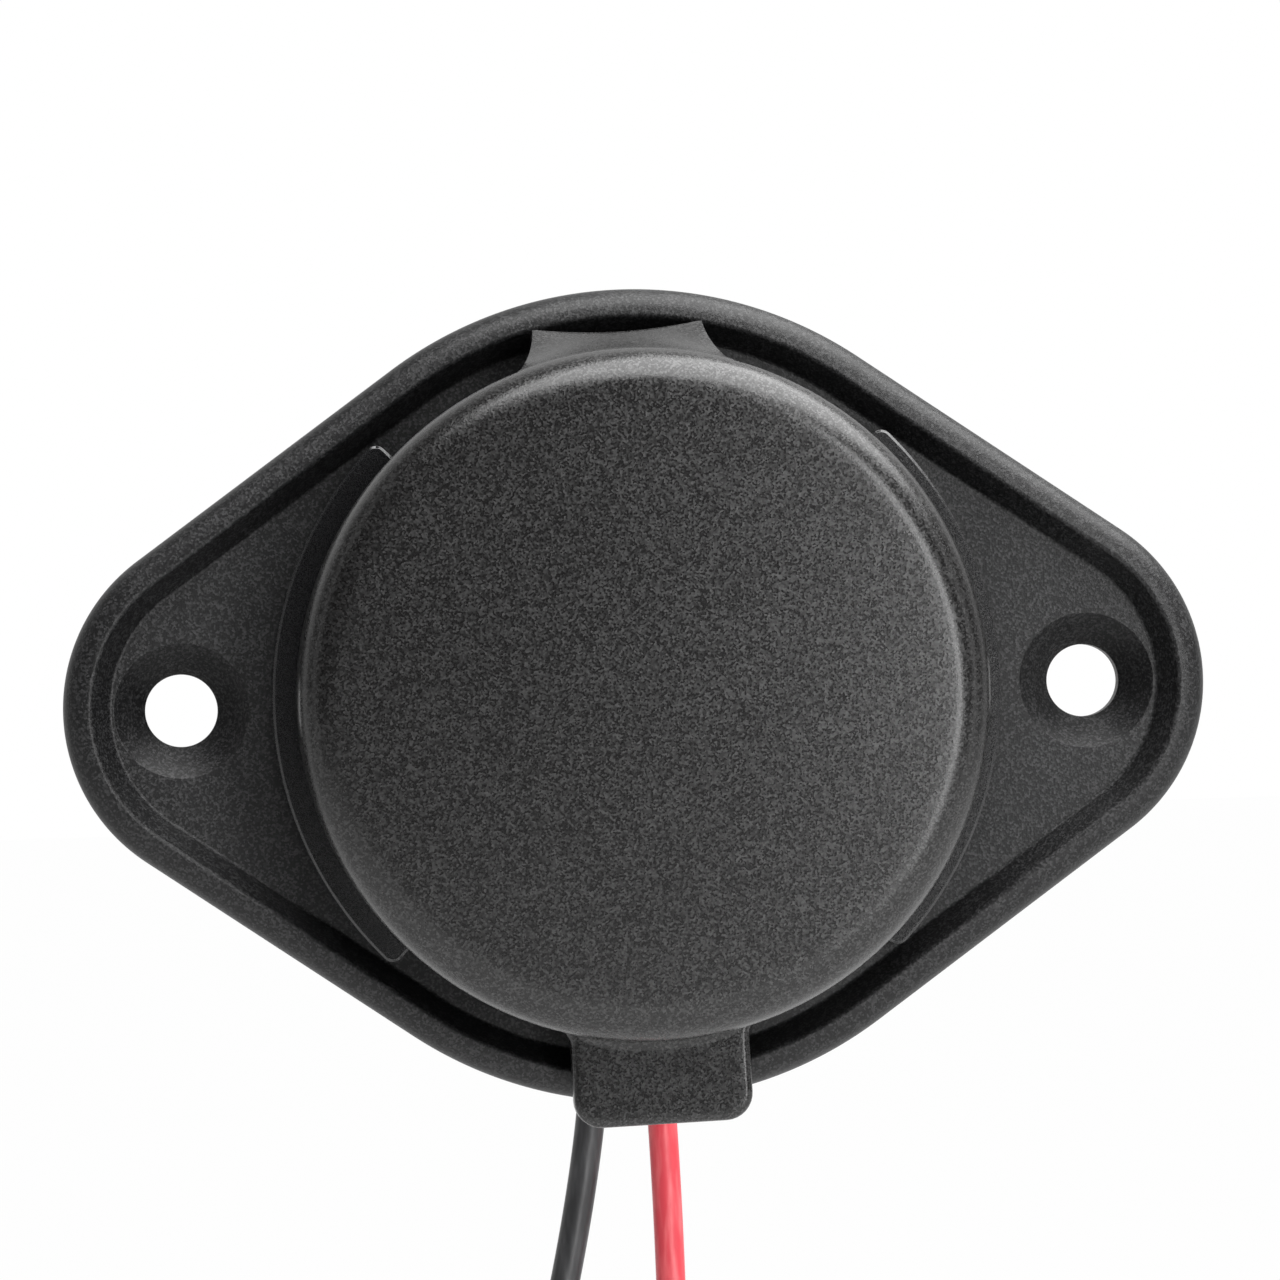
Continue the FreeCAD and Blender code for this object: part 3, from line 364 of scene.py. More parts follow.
@dataclass(frozen=True)
class GrainedMoulding:
    """Moulded plastic or rubber with a spark-eroded grain and pale specks, partly the grain's own tone and
    partly painted glints.

    Attributes:
        name: Name of the material.
        colour: Main colour.
        speck_and_glint: Colour of the specks, partly a paler grain tone and partly painted glints.
        roughness: Mean roughness.
        grain: Size of the grain in millimetres.
        relief: Depth of the grain in millimetres.
        gloss: Mean specular level.
        plain: Share of the grains that have no speck.
        patch: Size of the broad patches in millimetres.
        mottle: Swing of the specks' strength from patch to patch.
        swing: Swing of the roughness from grain to grain.
        bite: Strength of the grain's relief.
        shine: Gloss of plain grains and of specks, as shares of the gloss.
    """

    name: str
    colour: Colour
    speck_and_glint: Colour
    roughness: float
    grain: float = 0.12
    relief: float = 0.007
    gloss: float = 0.5
    plain: float = 0.45
    patch: float = 5.0
    mottle: float = 0.15
    swing: float = 0.08
    bite: float = 0.6
    shine: Point2 = (0.75, 1.4)

    def material(self) -> bpy.types.Material:
        """Builds the material."""
        material, board, shader, place = new_material(self.name)
        cells = board.add("ShaderNodeTexVoronoi", {"Vector": place, "Scale": 1 / (self.grain * MM)}).outputs
        pick = board.add("ShaderNodeSeparateColor", {0: cells["Color"]}).outputs[0]
        # Mask of the pale, glossier specks; their paler colour is partly grain tone and partly painted
        # glints.
        speck_glint_mask = board.ramp(pick, [(self.plain, 0.0), (1.0, 1.0)])
        mottle = board.spread(board.noise(place, self.patch, 4.0), 1 - self.mottle, 1 + self.mottle)
        strength = board.calculate("MULTIPLY", speck_glint_mask, mottle)
        dull, bright = self.shine
        # Base colour with the specks blended in: partly grain tone, partly painted glints.
        board.feed(shader, {
            "Base Color": board.blend(strength, self.colour, self.speck_and_glint),
            "Roughness": board.spread(pick, self.roughness - self.swing, self.roughness + self.swing),
            "Normal": board.bump(cells["Distance"], self.relief, self.bite),
            "Specular IOR Level": board.spread(speck_glint_mask, dull * self.gloss, bright * self.gloss)})
        return material


@dataclass(frozen=True)
class Metal:
    """Metal sheet or plating with fine drawing marks.

    Attributes:
        name: Name of the material.
        colour: Colour of the metal.
        tarnish: Colour of its duller patches.
        roughness: Mean roughness.
        drawing: Density of the drawing marks along each axis.
        mark: Size of a mark in millimetres.
        patch: Size of the patches in millimetres.
        onset: Noise values at which tarnish starts and is full.
        swing: Swing of the roughness, down and up.
        relief: Depth of the marks in millimetres.
        bite: Strength of the marks' relief.
    """

    name: str
    colour: Colour
    tarnish: Colour
    roughness: float
    drawing: Point3 = (6.0, 0.25, 6.0)
    mark: float = 0.6
    patch: float = 2.5
    onset: Point2 = (0.45, 0.75)
    swing: Point2 = (-0.08, 0.12)
    relief: float = 0.004
    bite: float = 0.4

    def material(self) -> bpy.types.Material:
        """Builds the material."""
        material, board, shader, place = new_material(self.name)
        drawn = board.add("ShaderNodeMapping", {"Vector": place, "Scale": self.drawing}).outputs[0]
        marks = board.noise(drawn, self.mark, 5.0)
        spots = board.ramp(board.noise(place, self.patch, 3.0), [(self.onset[0], 0.0), (self.onset[1], 1.0)])
        board.feed(shader, {
            "Base Color": board.blend(spots, self.colour, self.tarnish),
            "Roughness": board.spread(marks, self.roughness + self.swing[0], self.roughness + self.swing[1]),
            "Normal": board.bump(marks, self.relief, self.bite),
            "Metallic": 1.0})
        return material


@dataclass(frozen=True)
class Insulation:
    """Soft extruded jacket of a lead.

    Attributes:
        name: Name of the material.
        colour: Main colour.
        chalk: Paler colour of its rubbed streaks.
        roughness: Mean roughness.
        density: Density of the streaks along each axis.
        streak: Width of a streak in millimetres.
        patch: Size of the patches in millimetres.
        onset: Noise values at which a streak starts and is full.
        swing: Swing of the roughness from patch to patch.
        relief: Depth of the streaks in millimetres.
        bite: Strength of the streaks' relief.
    """

    name: str
    colour: Colour
    chalk: Colour
    roughness: float = 0.45
    density: Point3 = (1.0, 1.0, 0.15)
    streak: float = 0.5
    patch: float = 3.0
    onset: Point2 = (0.45, 0.8)
    swing: float = 0.08
    relief: float = 0.012
    bite: float = 0.4

    def material(self) -> bpy.types.Material:
        """Builds the material."""
        material, board, shader, place = new_material(self.name)
        along = board.add("ShaderNodeMapping", {"Vector": place, "Scale": self.density}).outputs[0]
        rubbed = board.noise(along, self.streak, 4.0)
        mask = board.ramp(rubbed, [(self.onset[0], 0.0), (self.onset[1], 1.0)])
        broad = board.noise(place, self.patch)
        board.feed(shader, {
            "Base Color": board.blend(mask, self.colour, self.chalk),
            "Roughness": board.spread(broad, self.roughness - self.swing, self.roughness + self.swing),
            "Normal": board.bump(rubbed, self.relief, self.bite)})
        return material


@dataclass(frozen=True)
class Laminate:
    """Solder mask over a glass-fibre board, with the weave showing through.

    Attributes:
        name: Name of the material.
        colour: Colour of the mask.
        weave: Colour where the fibres show.
        roughness: Roughness of the mask.
        density: Density of the weave.
        relief: Depth of the weave in millimetres.
        bite: Strength of the weave's relief.
    """

    name: str
    colour: Colour
    weave: Colour
    roughness: float = 0.35
    density: float = 500.0
    relief: float = 0.01
    bite: float = 0.5

    def material(self) -> bpy.types.Material:
        """Builds the material."""
        material, board, shader, place = new_material(self.name)
        thread = {"Vector": place, "Scale": self.density}
        warp, weft = (board.add("ShaderNodeTexWave", thread, bands_direction=way).outputs[1] for way in "XY")
        cloth = board.calculate("MULTIPLY", warp, weft)
        board.feed(shader, {
            "Base Color": board.blend(cloth, self.colour, self.weave),
            "Roughness": self.roughness,
            "Normal": board.bump(cloth, self.relief, self.bite)})
        return material


class Finish(Enum):
    """Finishes of the part, named after the record's material slots, and one for the wings' fronts."""

    # For the mouldings the second colour is the specks' colour: partly grain tone, partly painted glints.
    FLANGE = GrainedMoulding("flange_plastic", (0.004, 0.004, 0.0042), (0.012, 0.012, 0.0125), 0.46,
                             grain=0.11, relief=0.012, gloss=0.34)
    HOUSING = GrainedMoulding("housing_plastic", (0.0022, 0.0022, 0.0026), (0.007, 0.007, 0.0075), 0.3,
                              relief=0.004)
    EDGE = GrainedMoulding("edge_plastic", (0.0022, 0.0022, 0.0026), (0.003, 0.003, 0.0034), 0.25,
                           grain=0.03, relief=0.0, gloss=0.6)
    NUT = GrainedMoulding("nut_plastic", (0.008, 0.008, 0.0085), (0.028, 0.028, 0.029), 0.42)
    FACE = GrainedMoulding("face_plastic", (0.007, 0.007, 0.0075), (0.025, 0.025, 0.026), 0.38, grain=0.2)
    CAP = GrainedMoulding("cap_rubber", (0.004, 0.0038, 0.0038), (0.012, 0.0117, 0.0117), 0.3, grain=0.1)
    STEEL = Metal("port_steel", (0.66, 0.66, 0.65), (0.5, 0.49, 0.47), 0.28)
    TONGUE = GrainedMoulding("tongue_plastic", (0.78, 0.78, 0.76), (0.86, 0.86, 0.85), 0.4,
                             grain=0.3, relief=0.01)
    GOLD = Metal("contact_gold", (0.95, 0.68, 0.28), (0.85, 0.56, 0.22), 0.22)
    BOARD = Laminate("board_laminate", (0.012, 0.1, 0.035), (0.03, 0.17, 0.06))
    FERRITE = GrainedMoulding("choke_ferrite", (0.04, 0.038, 0.036), (0.1, 0.095, 0.09), 0.6, grain=0.2)
    CAN = Metal("can_aluminium", (0.82, 0.82, 0.83), (0.7, 0.7, 0.71), 0.3)
    EPOXY = GrainedMoulding("chip_epoxy", (0.02, 0.02, 0.021), (0.05, 0.05, 0.05), 0.55, relief=0.008)
    CERAMIC = GrainedMoulding("pellet_ceramic", (0.45, 0.3, 0.17), (0.58, 0.42, 0.27), 0.45,
                              grain=0.2, relief=0.006)
    GROMMET = GrainedMoulding("grommet_rubber", (0.012, 0.012, 0.013), (0.035, 0.035, 0.036), 0.6, grain=0.3)
    TINNED = Metal("tinned_copper", (0.75, 0.73, 0.7), (0.72, 0.5, 0.34), 0.3)
    RED = Insulation("red_pvc", (0.5, 0.035, 0.05), (0.62, 0.12, 0.13))
    BLACK = Insulation("black_pvc", (0.016, 0.016, 0.017), (0.05, 0.05, 0.052))


@dataclass
class Finishes:
    """Materials of the part, one for each finish.

    Attributes:
        made: Materials made so far.
    """

    made: dict[Finish, bpy.types.Material] = field(default_factory=dict)

    def of(self, finish: Finish) -> bpy.types.Material:
        """Gives a finish's material, made at its first use."""
        if finish not in self.made:
            self.made[finish] = finish.value.material()
        return self.made[finish]


@dataclass
class PhotoView:
    """Camera at the photograph's view.

    Attributes:
        distance: Distance to the part's centre, in metres.
        yaw: Angle by which the camera stands to the left, in degrees.
        roll: Angle by which the part looks turned anticlockwise, in degrees.
        field: Width of the frame at the part, in metres.
        centre: Where the part's centre lies in the frame, in pixels from its upper left corner.
        pixels: Width and height of the frame, in pixels.
        sensor: Width of the camera's sensor, in millimetres.
        clip: Nearest and farthest distance that the camera sees, in metres.
    """

    distance: float = 0.44
    yaw: float = 3.45
    roll: float = 1.95
    field: float = 0.07107
    centre: Point2 = (632.1, 695.5)
    pixels: int = 1280
    sensor: float = 36.0
    clip: Point2 = (0.01, 20.0)

    def build(self) -> None:
        """Makes the camera and sets it as the scene's own."""
        data = bpy.data.cameras.new("photo_view")
        data.sensor_width = self.sensor
        data.lens = self.sensor * self.distance / self.field
        data.shift_x = 0.5 - self.centre[0] / self.pixels
        data.shift_y = self.centre[1] / self.pixels - 0.5
        data.clip_start, data.clip_end = self.clip
        camera = bpy.data.objects.new("photo_view", data)
        yaw = math.radians(self.yaw)
        aim = Euler((math.pi / 2, 0, -yaw)).to_matrix() @ Matrix.Rotation(-math.radians(self.roll), 3, "Z")
        camera.location = (-self.distance * math.sin(yaw), -self.distance * math.cos(yaw), 0)
        camera.rotation_euler = aim.to_euler()
        bpy.context.scene.collection.objects.link(camera)
        bpy.context.scene.camera = camera


@dataclass
class Lead:
    """Insulated lead with a stripped end.

    Attributes:
        name: Name of the lead's CAD node.
        route: Points of its route in the shared frame, in millimetres.
        finish: Finish of its jacket.
        length: Length of its jacket, in millimetres; not used.
        diameter: Diameter of the jacket, in millimetres.
        bare: Length of the stripped end, in millimetres.
        core: Diameter of the stripped end, in millimetres.
        facets: Fineness of the jacket's round section.
        steps: Fineness of the route's curve.
    """

    name: str
    route: list[Point3]
    finish: Finish
    length: float
    diameter: float = 1.8
    bare: float = 6.0
    core: float = 1.0
    facets: int = 5
    steps: int = 24

    def build(self, finishes: Finishes) -> None:
        """Makes the lead and its stripped end.

        Args:
            finishes: Materials of the part.
        """
        data = bpy.data.curves.new(self.name + "_jacket", "CURVE")
        data.dimensions = "3D"
        data.bevel_depth = self.diameter / 2 * MM
        data.bevel_resolution = self.facets
        data.resolution_u = self.steps
        data.use_fill_caps = True
        spline = data.splines.new("NURBS")
        spline.points.add(len(self.route) - 1)
        for point, spot in zip(spline.points, self.route):
            point.co = (*(Vector(spot) * MM), 1)
        spline.order_u = 3
        spline.use_endpoint_u = True
        data.materials.append(finishes.of(self.finish))
        jacket = bpy.data.objects.new(self.name + "_jacket", data)
        bpy.context.scene.collection.objects.link(jacket)
        settle(jacket, Body.BASE, self.finish.value.name, self.name)
        strands = self.strands(finishes)
        settle(strands, Body.BASE, Finish.TINNED.value.name, self.name + "_end")

    def strands(self, finishes: Finishes) -> bpy.types.Object:
        """Makes the twisted strands of the stripped end.

        Args:
            finishes: Materials of the part.

        Returns:
            The strands in one mesh.
        """
        # Three strands side by side span the core.
        wire = self.core / 6
        twist = StrandTwist(self.bare * MM, (self.core / 2 - wire) * MM, wire * MM)
        data = twist.mesh(self.name + "_strands", finishes.of(Finish.TINNED))
        end, before = Vector(self.route[-1]), Vector(self.route[-2])
        turn = (end - before).to_track_quat("Z", "Y").to_matrix().to_4x4()
        data.transform(Matrix.Translation(end * MM) @ turn)
        return piece_of(self.name + "_strands", data, finishes.of(Finish.TINNED), crease=40)


def new_tree(name: str, inputs: dict[str, float]) -> tuple[bpy.types.NodeTree, NodeBoard, bpy.types.Node]:
    """Starts a geometry tree with named sizes.

    Args:
        name: Name of the tree.
        inputs: Names and default values of its sizes.

    Returns:
        The tree, its board and its input node.
    """
    tree = bpy.data.node_groups.new(name, "GeometryNodeTree")
    tree.interface.new_socket("Geometry", in_out="INPUT", socket_type="NodeSocketGeometry")
    for label, value in inputs.items():
        socket = tree.interface.new_socket(label, in_out="INPUT", socket_type="NodeSocketFloat")
        socket.default_value = value
    tree.interface.new_socket("Geometry", in_out="OUTPUT", socket_type="NodeSocketGeometry")
    board = NodeBoard(tree)
    return tree, board, board.add("NodeGroupInput")


def grown(name: str, tree: bpy.types.NodeTree, values: dict[str, float]) -> bpy.types.Mesh:
    """Runs a geometry tree and keeps its result as a plain mesh.

    Args:
        name: Name of the mesh.
        tree: The tree.
        values: Sizes by the names of the tree's inputs.

    Returns:
        The mesh.
    """
    seed = bpy.data.objects.new(name + "_seed", bpy.data.meshes.new(name + "_seed"))
    bpy.context.scene.collection.objects.link(seed)
    modifier = seed.modifiers.new("grow", "NODES")
    modifier.node_group = tree
    for item in tree.interface.items_tree:
        if item.item_type == "SOCKET" and item.in_out == "INPUT" and item.name in values:
            modifier[item.identifier] = values[item.name]
    graph = bpy.context.evaluated_depsgraph_get()
    data = bpy.data.meshes.new_from_object(seed.evaluated_get(graph))
    data.name = name
    seed.modifiers.remove(modifier)
    bpy.data.objects.remove(seed)
    return data


@dataclass
class StrandTwist:
    """Rope of strands twisted round a straight one.

    Attributes:
        length: Length along its axis, in metres.
        reach: Radius on which the outer strands lie, in metres.
        strand: Radius of a strand, in metres.
        turns: Turns over the whole length.
        count: Number of outer strands.
        sides: Sides of a strand's section.
        steps: Steps of a strand's helix.
    """

    length: float
    reach: float
    strand: float
    turns: float = 0.8
    count: int = 6
    sides: int = 10
    steps: int = 40

    def mesh(self, name: str, material: bpy.types.Material) -> bpy.types.Mesh:
        """Grows the rope along +Z from the origin.

        Args:
            name: Name of the mesh.
            material: Material of the strands.

        Returns:
            The mesh.
        """
        values = {"Length": self.length, "Reach": self.reach, "Strand": self.strand, "Turns": self.turns}
        tree, board, given = new_tree(name + "_tree", values)
        size = given.outputs
        section = board.add("GeometryNodeCurvePrimitiveCircle", {
            "Resolution": self.sides, "Radius": size["Strand"]})
        helix = board.add("GeometryNodeCurveSpiral", {
            "Resolution": self.steps, "Rotations": size["Turns"], "Start Radius": size["Reach"],
            "End Radius": size["Reach"], "Height": size["Length"]})
        outer = board.add("GeometryNodeCurveToMesh", {
            "Curve": helix.outputs[0], "Profile Curve": section.outputs[0], "Fill Caps": True})
        heap = board.add("GeometryNodeMeshLine", {"Count": self.count, "Offset": (0.0, 0.0, 0.0)})
        index = board.add("GeometryNodeInputIndex")
        angle = board.calculate("MULTIPLY", index.outputs[0], math.tau / self.count)
        turn = board.add("ShaderNodeCombineXYZ", {"Z": angle})
        around = board.add("GeometryNodeInstanceOnPoints", {
            "Points": heap.outputs[0], "Instance": outer.outputs[0], "Rotation": turn.outputs[0]})
        tip = board.add("ShaderNodeCombineXYZ", {"Z": size["Length"]})
        axis = board.add("GeometryNodeCurvePrimitiveLine", {"End": tip.outputs[0]})
        core = board.add("GeometryNodeCurveToMesh", {
            "Curve": axis.outputs[0], "Profile Curve": section.outputs[0], "Fill Caps": True})
        join = board.add("GeometryNodeJoinGeometry")
        board.feed(join, {0: around.outputs[0]})
        board.feed(join, {0: core.outputs[0]})
        solid = board.add("GeometryNodeRealizeInstances", {"Geometry": join.outputs[0]})
        dressed = board.add("GeometryNodeSetMaterial", {"Geometry": solid.outputs[0], "Material": material})
        board.add("NodeGroupOutput", {"Geometry": dressed.outputs[0]})
        return grown(name, tree, values)


@dataclass
class MountingFlange:
    """Oblong plate with a raised rim and two countersunk screw holes.

    Attributes:
        side_radius: Radius of the long sides' arcs.
        end_radius: Radius of the ends.
        end_offset: Offset of the ends' centres.
        hole_offset: Offset of the screw holes.
        rim: Profile of the rim: inset, height and corner radius.
        hole: Profile of a screw hole: radius, height and corner radius.
        bore: Profile of the middle bore: radius, height and corner radius.
        straight: Shares of the straight stretch at which its stations start and end.
        arc_steps: Chords of each arc in a quarter of the outline.
        hole_steps: Sides of a screw hole.
        bore_steps: Sides of the middle bore.
    """

    side_radius: float = 22.4
    end_radius: float = 10.1
    end_offset: float = 21.4
    hole_offset: float = 25.0
    rim: tuple[tuple[float, float, float], ...] = (
        (0.6, 0.0, 0.0), (0.0, 0.0, 0.25), (0.0, 4.5, 1.4),
        (1.55, 4.5, 0.35), (2.55, 3.0, 0.25), (2.7, 3.0, 0.0))
    hole: tuple[tuple[float, float, float], ...] = (
        (3.78, 3.0, 0.0), (3.72, 3.0, 0.06), (2.0, 1.28, 0.15), (2.0, 0.0, 0.0))
    bore: tuple[tuple[float, float, float], ...] = (
        (14.4, 3.0, 0.0), (14.3, 3.0, 0.1), (14.3, 0.6, 0.0), (18.0, 0.6, 0.0), (18.0, 0.0, 0.0))
    straight: Point2 = (0.08, 0.92)
    arc_steps: int = 40
    hole_steps: int = 96
    bore_steps: int = 192

    def outline(self) -> list[tuple[float, float, float]]:
        """Gives each outline station's centre, radius and direction, anticlockwise."""
        growth = self.side_radius - self.end_radius
        lean = math.acos(growth / self.end_offset)
        quarter = [(self.end_offset, self.end_radius, a) for a in span(0, lean, self.arc_steps)]
        quarter += [(self.end_offset * (1 - t), self.end_radius + growth * t, lean)
                    for t in span(*self.straight, 10)]
        quarter += [(0.0, self.side_radius, a) for a in span(lean, math.pi / 2, self.arc_steps)]
        half = quarter + [(-c, r, math.pi - a) for c, r, a in reversed(quarter[:-1])]
        return half + [(c, r, -a) for c, r, a in reversed(half[1:-1])]

    def build(self, finishes: Finishes) -> None:
        """Makes the flange.

        Args:
            finishes: Materials of the part.
        """
        shape = Shape()
        stations = self.outline()
        rings = []
        for inset, height in rounded(self.rim, 7):
            rings.append(shape.ring((c + (r - inset) * math.cos(a), (r - inset) * math.sin(a), height)
                                    for c, r, a in stations))
        shape.skin(rings)
        holes = [shape.turned(rounded(self.hole), self.hole_steps, (side * self.hole_offset, 0.0))
                 for side in (-1, 1)]
        bore = shape.turned(rounded(self.bore), self.bore_steps)
        shape.fill(rings[-1], bore[0], holes[0][0], holes[1][0])
        shape.fill(rings[0], bore[-1], holes[0][-1], holes[1][-1])
        flange = shape.finish("flange", finishes.of(Finish.FLANGE))
        settle(flange, Body.BASE, "flange_plastic", "mounting_flange")


@dataclass
class WingBeads:
    """Smooth fronts, with finely broken edges, of the two wings that show beside the cap.

    Attributes:
        radius: Outer radius of a wing.
        foot: Radius at which its ends run into the bezel.
        half_angle: Half angle of a wing, in degrees.
        corner: Radius of its corners.
        front: Height of its front.
        chamfer: Width of the broken edge.
        slope: Depth of the broken edge, as a share of its width.
        proud: Distance by which the fronts stand out from the wings.
        end_gap: Angle between the foot's arc and a wing's end, in radians.
        steps: Chords of each long arc.
    """

    radius: float = 20.0
    foot: float = 18.3
    half_angle: float = 46.0
    corner: float = 0.6
    front: float = 5.0
    chamfer: float = 0.12
    slope: float = 0.7
    proud: float = 0.012
    end_gap: float = 0.03
    steps: int = 60

    def path(self) -> list[tuple[Point2, float]]:
        """Gives the right wing's outline, each point with the direction it faces."""
        end = math.radians(self.half_angle)
        lean = math.asin(self.corner / (self.radius - self.corner))
        centre = polar(self.radius - self.corner, end - lean)
        upper = [(polar(self.radius, a), a) for a in span(0.0, end - lean, self.steps)]
        upper += [((centre[0] + self.corner * math.cos(a), centre[1] + self.corner * math.sin(a)), a)
                  for a in span(end - lean, end + math.pi / 2, 8)[1:]]
        inner = math.sqrt((self.radius - self.corner) ** 2 - self.corner ** 2)
        upper += [(polar(r, end), end + math.pi / 2) for r in span(inner - 0.1, self.foot, 4)]
        return [((x, -y), -a) for (x, y), a in reversed(upper[1:])] + upper

    def build(self, finishes: Finishes) -> None:
        """Makes the fronts of both wings as one piece.

        Args:
            finishes: Materials of the part.
        """
        shape = Shape()
        turn = math.radians(self.half_angle) - self.end_gap
        inner = [polar(self.foot, a) for a in span(turn, -turn, self.steps)]
        levels = ((-self.proud, self.front - self.slope * self.chamfer),
                  (self.chamfer, self.front + self.proud))
        for side in (1, -1):
            loops = [shape.ring([(side * (x - inset * math.cos(a)), y - inset * math.sin(a), z)
                                 for (x, y), a in self.path()] + [(side * x, y, z) for x, y in inner])
                     for inset, z in levels]
            shape.skin(loops)
            for loop in loops:
                shape.fill(loop)
        beads = shape.finish("wing_beads", finishes.of(Finish.EDGE), crease=25)
        settle(beads, Body.BASE, "housing_plastic")


@dataclass
class DustCap:
    """Domed rubber cap with a soft shoulder and a thumb tab.

    Attributes:
        radius: Outer radius.
        back: Height of the mouth.
        edge: Height at which crown and wall would meet.
        crown: Rise of the crown above the edge.
        shoulder: Radius of the shoulder.
        cavity: Inner radius.
        ceiling: Height of the inside.
        tab_half: Half width of the tab.
        tab_end: Distance from the axis to the tab's end.
        tab_front: Height of the tab's front.
        tab_corner: Radius of the tab's corners.
        tab_fillet: Radius of the fillets beside the tab.
        crease: Radius of the fillet above the tab.
        clocking: Turn of the cap against the flange, in degrees.
        ease: Width between the crown's last ring and the shoulder.
        lip: Radius of the mouth's two edges.
        inner_corner: Radius of the corner between the inner wall and the ceiling.
        tab_insets: Insets at which the tab's rounded back and front turn flat.
        tab_foot: Radius of the tab's back edge.
        tab_edge: Radius of the tab's front edge.
        tab_clear: Gaps between the tab's straight side and the fillet and corner at its ends.
        crease_end: Radius of the fillet above the tab at its ends.
        crease_gap: Distance from that fillet's ends to the tab's sides.
        sink: Depth by which that fillet reaches into wall and tab.
        steps: Sides of the cup.
    """

    radius: float = 18.75
    back: float = 5.2
    edge: float = 13.8
    crown: float = 0.5
    shoulder: float = 2.2
    cavity: float = 16.75
    ceiling: float = 12.0
    tab_half: float = 4.9
    tab_end: float = 23.5
    tab_front: float = 7.0
    tab_corner: float = 1.5
    tab_fillet: float = 1.2
    crease: float = 0.7
    clocking: float = 1.5
    ease: float = 0.6
    lip: float = 0.3
    inner_corner: float = 0.5
    tab_insets: Point2 = (0.5, 0.8)
    tab_foot: float = 0.2
    tab_edge: float = 0.42
    tab_clear: Point2 = (0.4, 0.2)
    crease_end: float = 0.08
    crease_gap: float = 0.3
    sink: float = 0.2
    steps: int = 192

    def profile(self) -> list[Point2]:
        """Gives the cup's section from the top of the crown to the middle of the ceiling."""
        crown = [(r, self.edge + self.crown * (1 - (r / self.radius) ** 2))
                 for r in span(0.0, self.radius - self.shoulder - self.ease, 16)]
        wall = rounded([(*crown[-1], 0), (self.radius, self.edge, self.shoulder),
                        (self.radius, self.back, self.lip), (self.cavity, self.back, self.lip),
                        (self.cavity, self.ceiling, self.inner_corner), (0.0, self.ceiling, 0)], 12)
        return crown + wall[1:]

    def tab_outline(self, inset: float) -> list[Point2]:
        """Gives the tab's outline.

        Args:
            inset: Distance by which it is drawn in.

        Returns:
            The outline from the wall on the right round to the wall on the left.
        """
        grown_radius = self.radius + self.tab_fillet
        side = self.tab_half + self.tab_fillet
        level = -math.sqrt(grown_radius ** 2 - side ** 2)
        lean = math.atan2(-level, side)
        corner = (self.tab_half - self.tab_corner, self.tab_corner - self.tab_end)
        straight = span(level - self.tab_clear[0], corner[1] + self.tab_clear[1], 4)
        right = arc((side, level), self.tab_fillet + inset, math.pi - lean, math.pi, 8)
        right += [(self.tab_half - inset, y) for y in straight]
        right += arc(corner, self.tab_corner - inset, 0, -math.pi / 2, 8)
        return right + [(-x, y) for x, y in reversed(right)]

    def build(self, finishes: Finishes) -> None:
        """Makes the cap with its tab.

        Args:
            finishes: Materials of the part.
        """
        shape = Shape(math.radians(self.clocking))
        shape.turned(self.profile(), self.steps)
        section = rounded([(self.tab_insets[0], self.back, 0), (0.0, self.back, self.tab_foot),
                           (0.0, self.tab_front, self.tab_edge), (self.tab_insets[1], self.tab_front, 0)], 6)
        rings = [shape.ring((x, y, height) for x, y in self.tab_outline(inset))
                 for inset, height in section]
        shape.skin(rings)
        shape.fill(rings[0])
        shape.fill(rings[-1])
        self.fillet(shape)
        cap = shape.finish("cap", finishes.of(Finish.CAP), crease=40)
        settle(cap, Body.CAP, "cap_rubber", "dust_cap")

    def fillet(self, shape: Shape) -> None:
        """Adds the fillet between the wall and the tab's front.

        Args:
            shape: Shape of the cap.
        """
        reach = math.asin((self.tab_half - self.crease_gap) / self.radius)
        inside, below = self.radius - self.sink, self.tab_front - self.sink
        rings = []
        for t in span(-1.0, 1.0, 32):
            angle = t * reach - math.pi / 2
            size = self.crease_end + (self.crease - self.crease_end) * math.sqrt(max(0.0, 1 - t ** 4))
            curve = arc((self.radius + size, self.tab_front + size), size, math.pi, 1.5 * math.pi, 8)
            curve += [(self.radius + size, below), (inside, below), (inside, self.tab_front + size)]
            rings.append(shape.ring((*polar(r, angle), z) for r, z in curve))
        shape.skin(rings)
        shape.fill(rings[0])
        shape.fill(rings[-1])


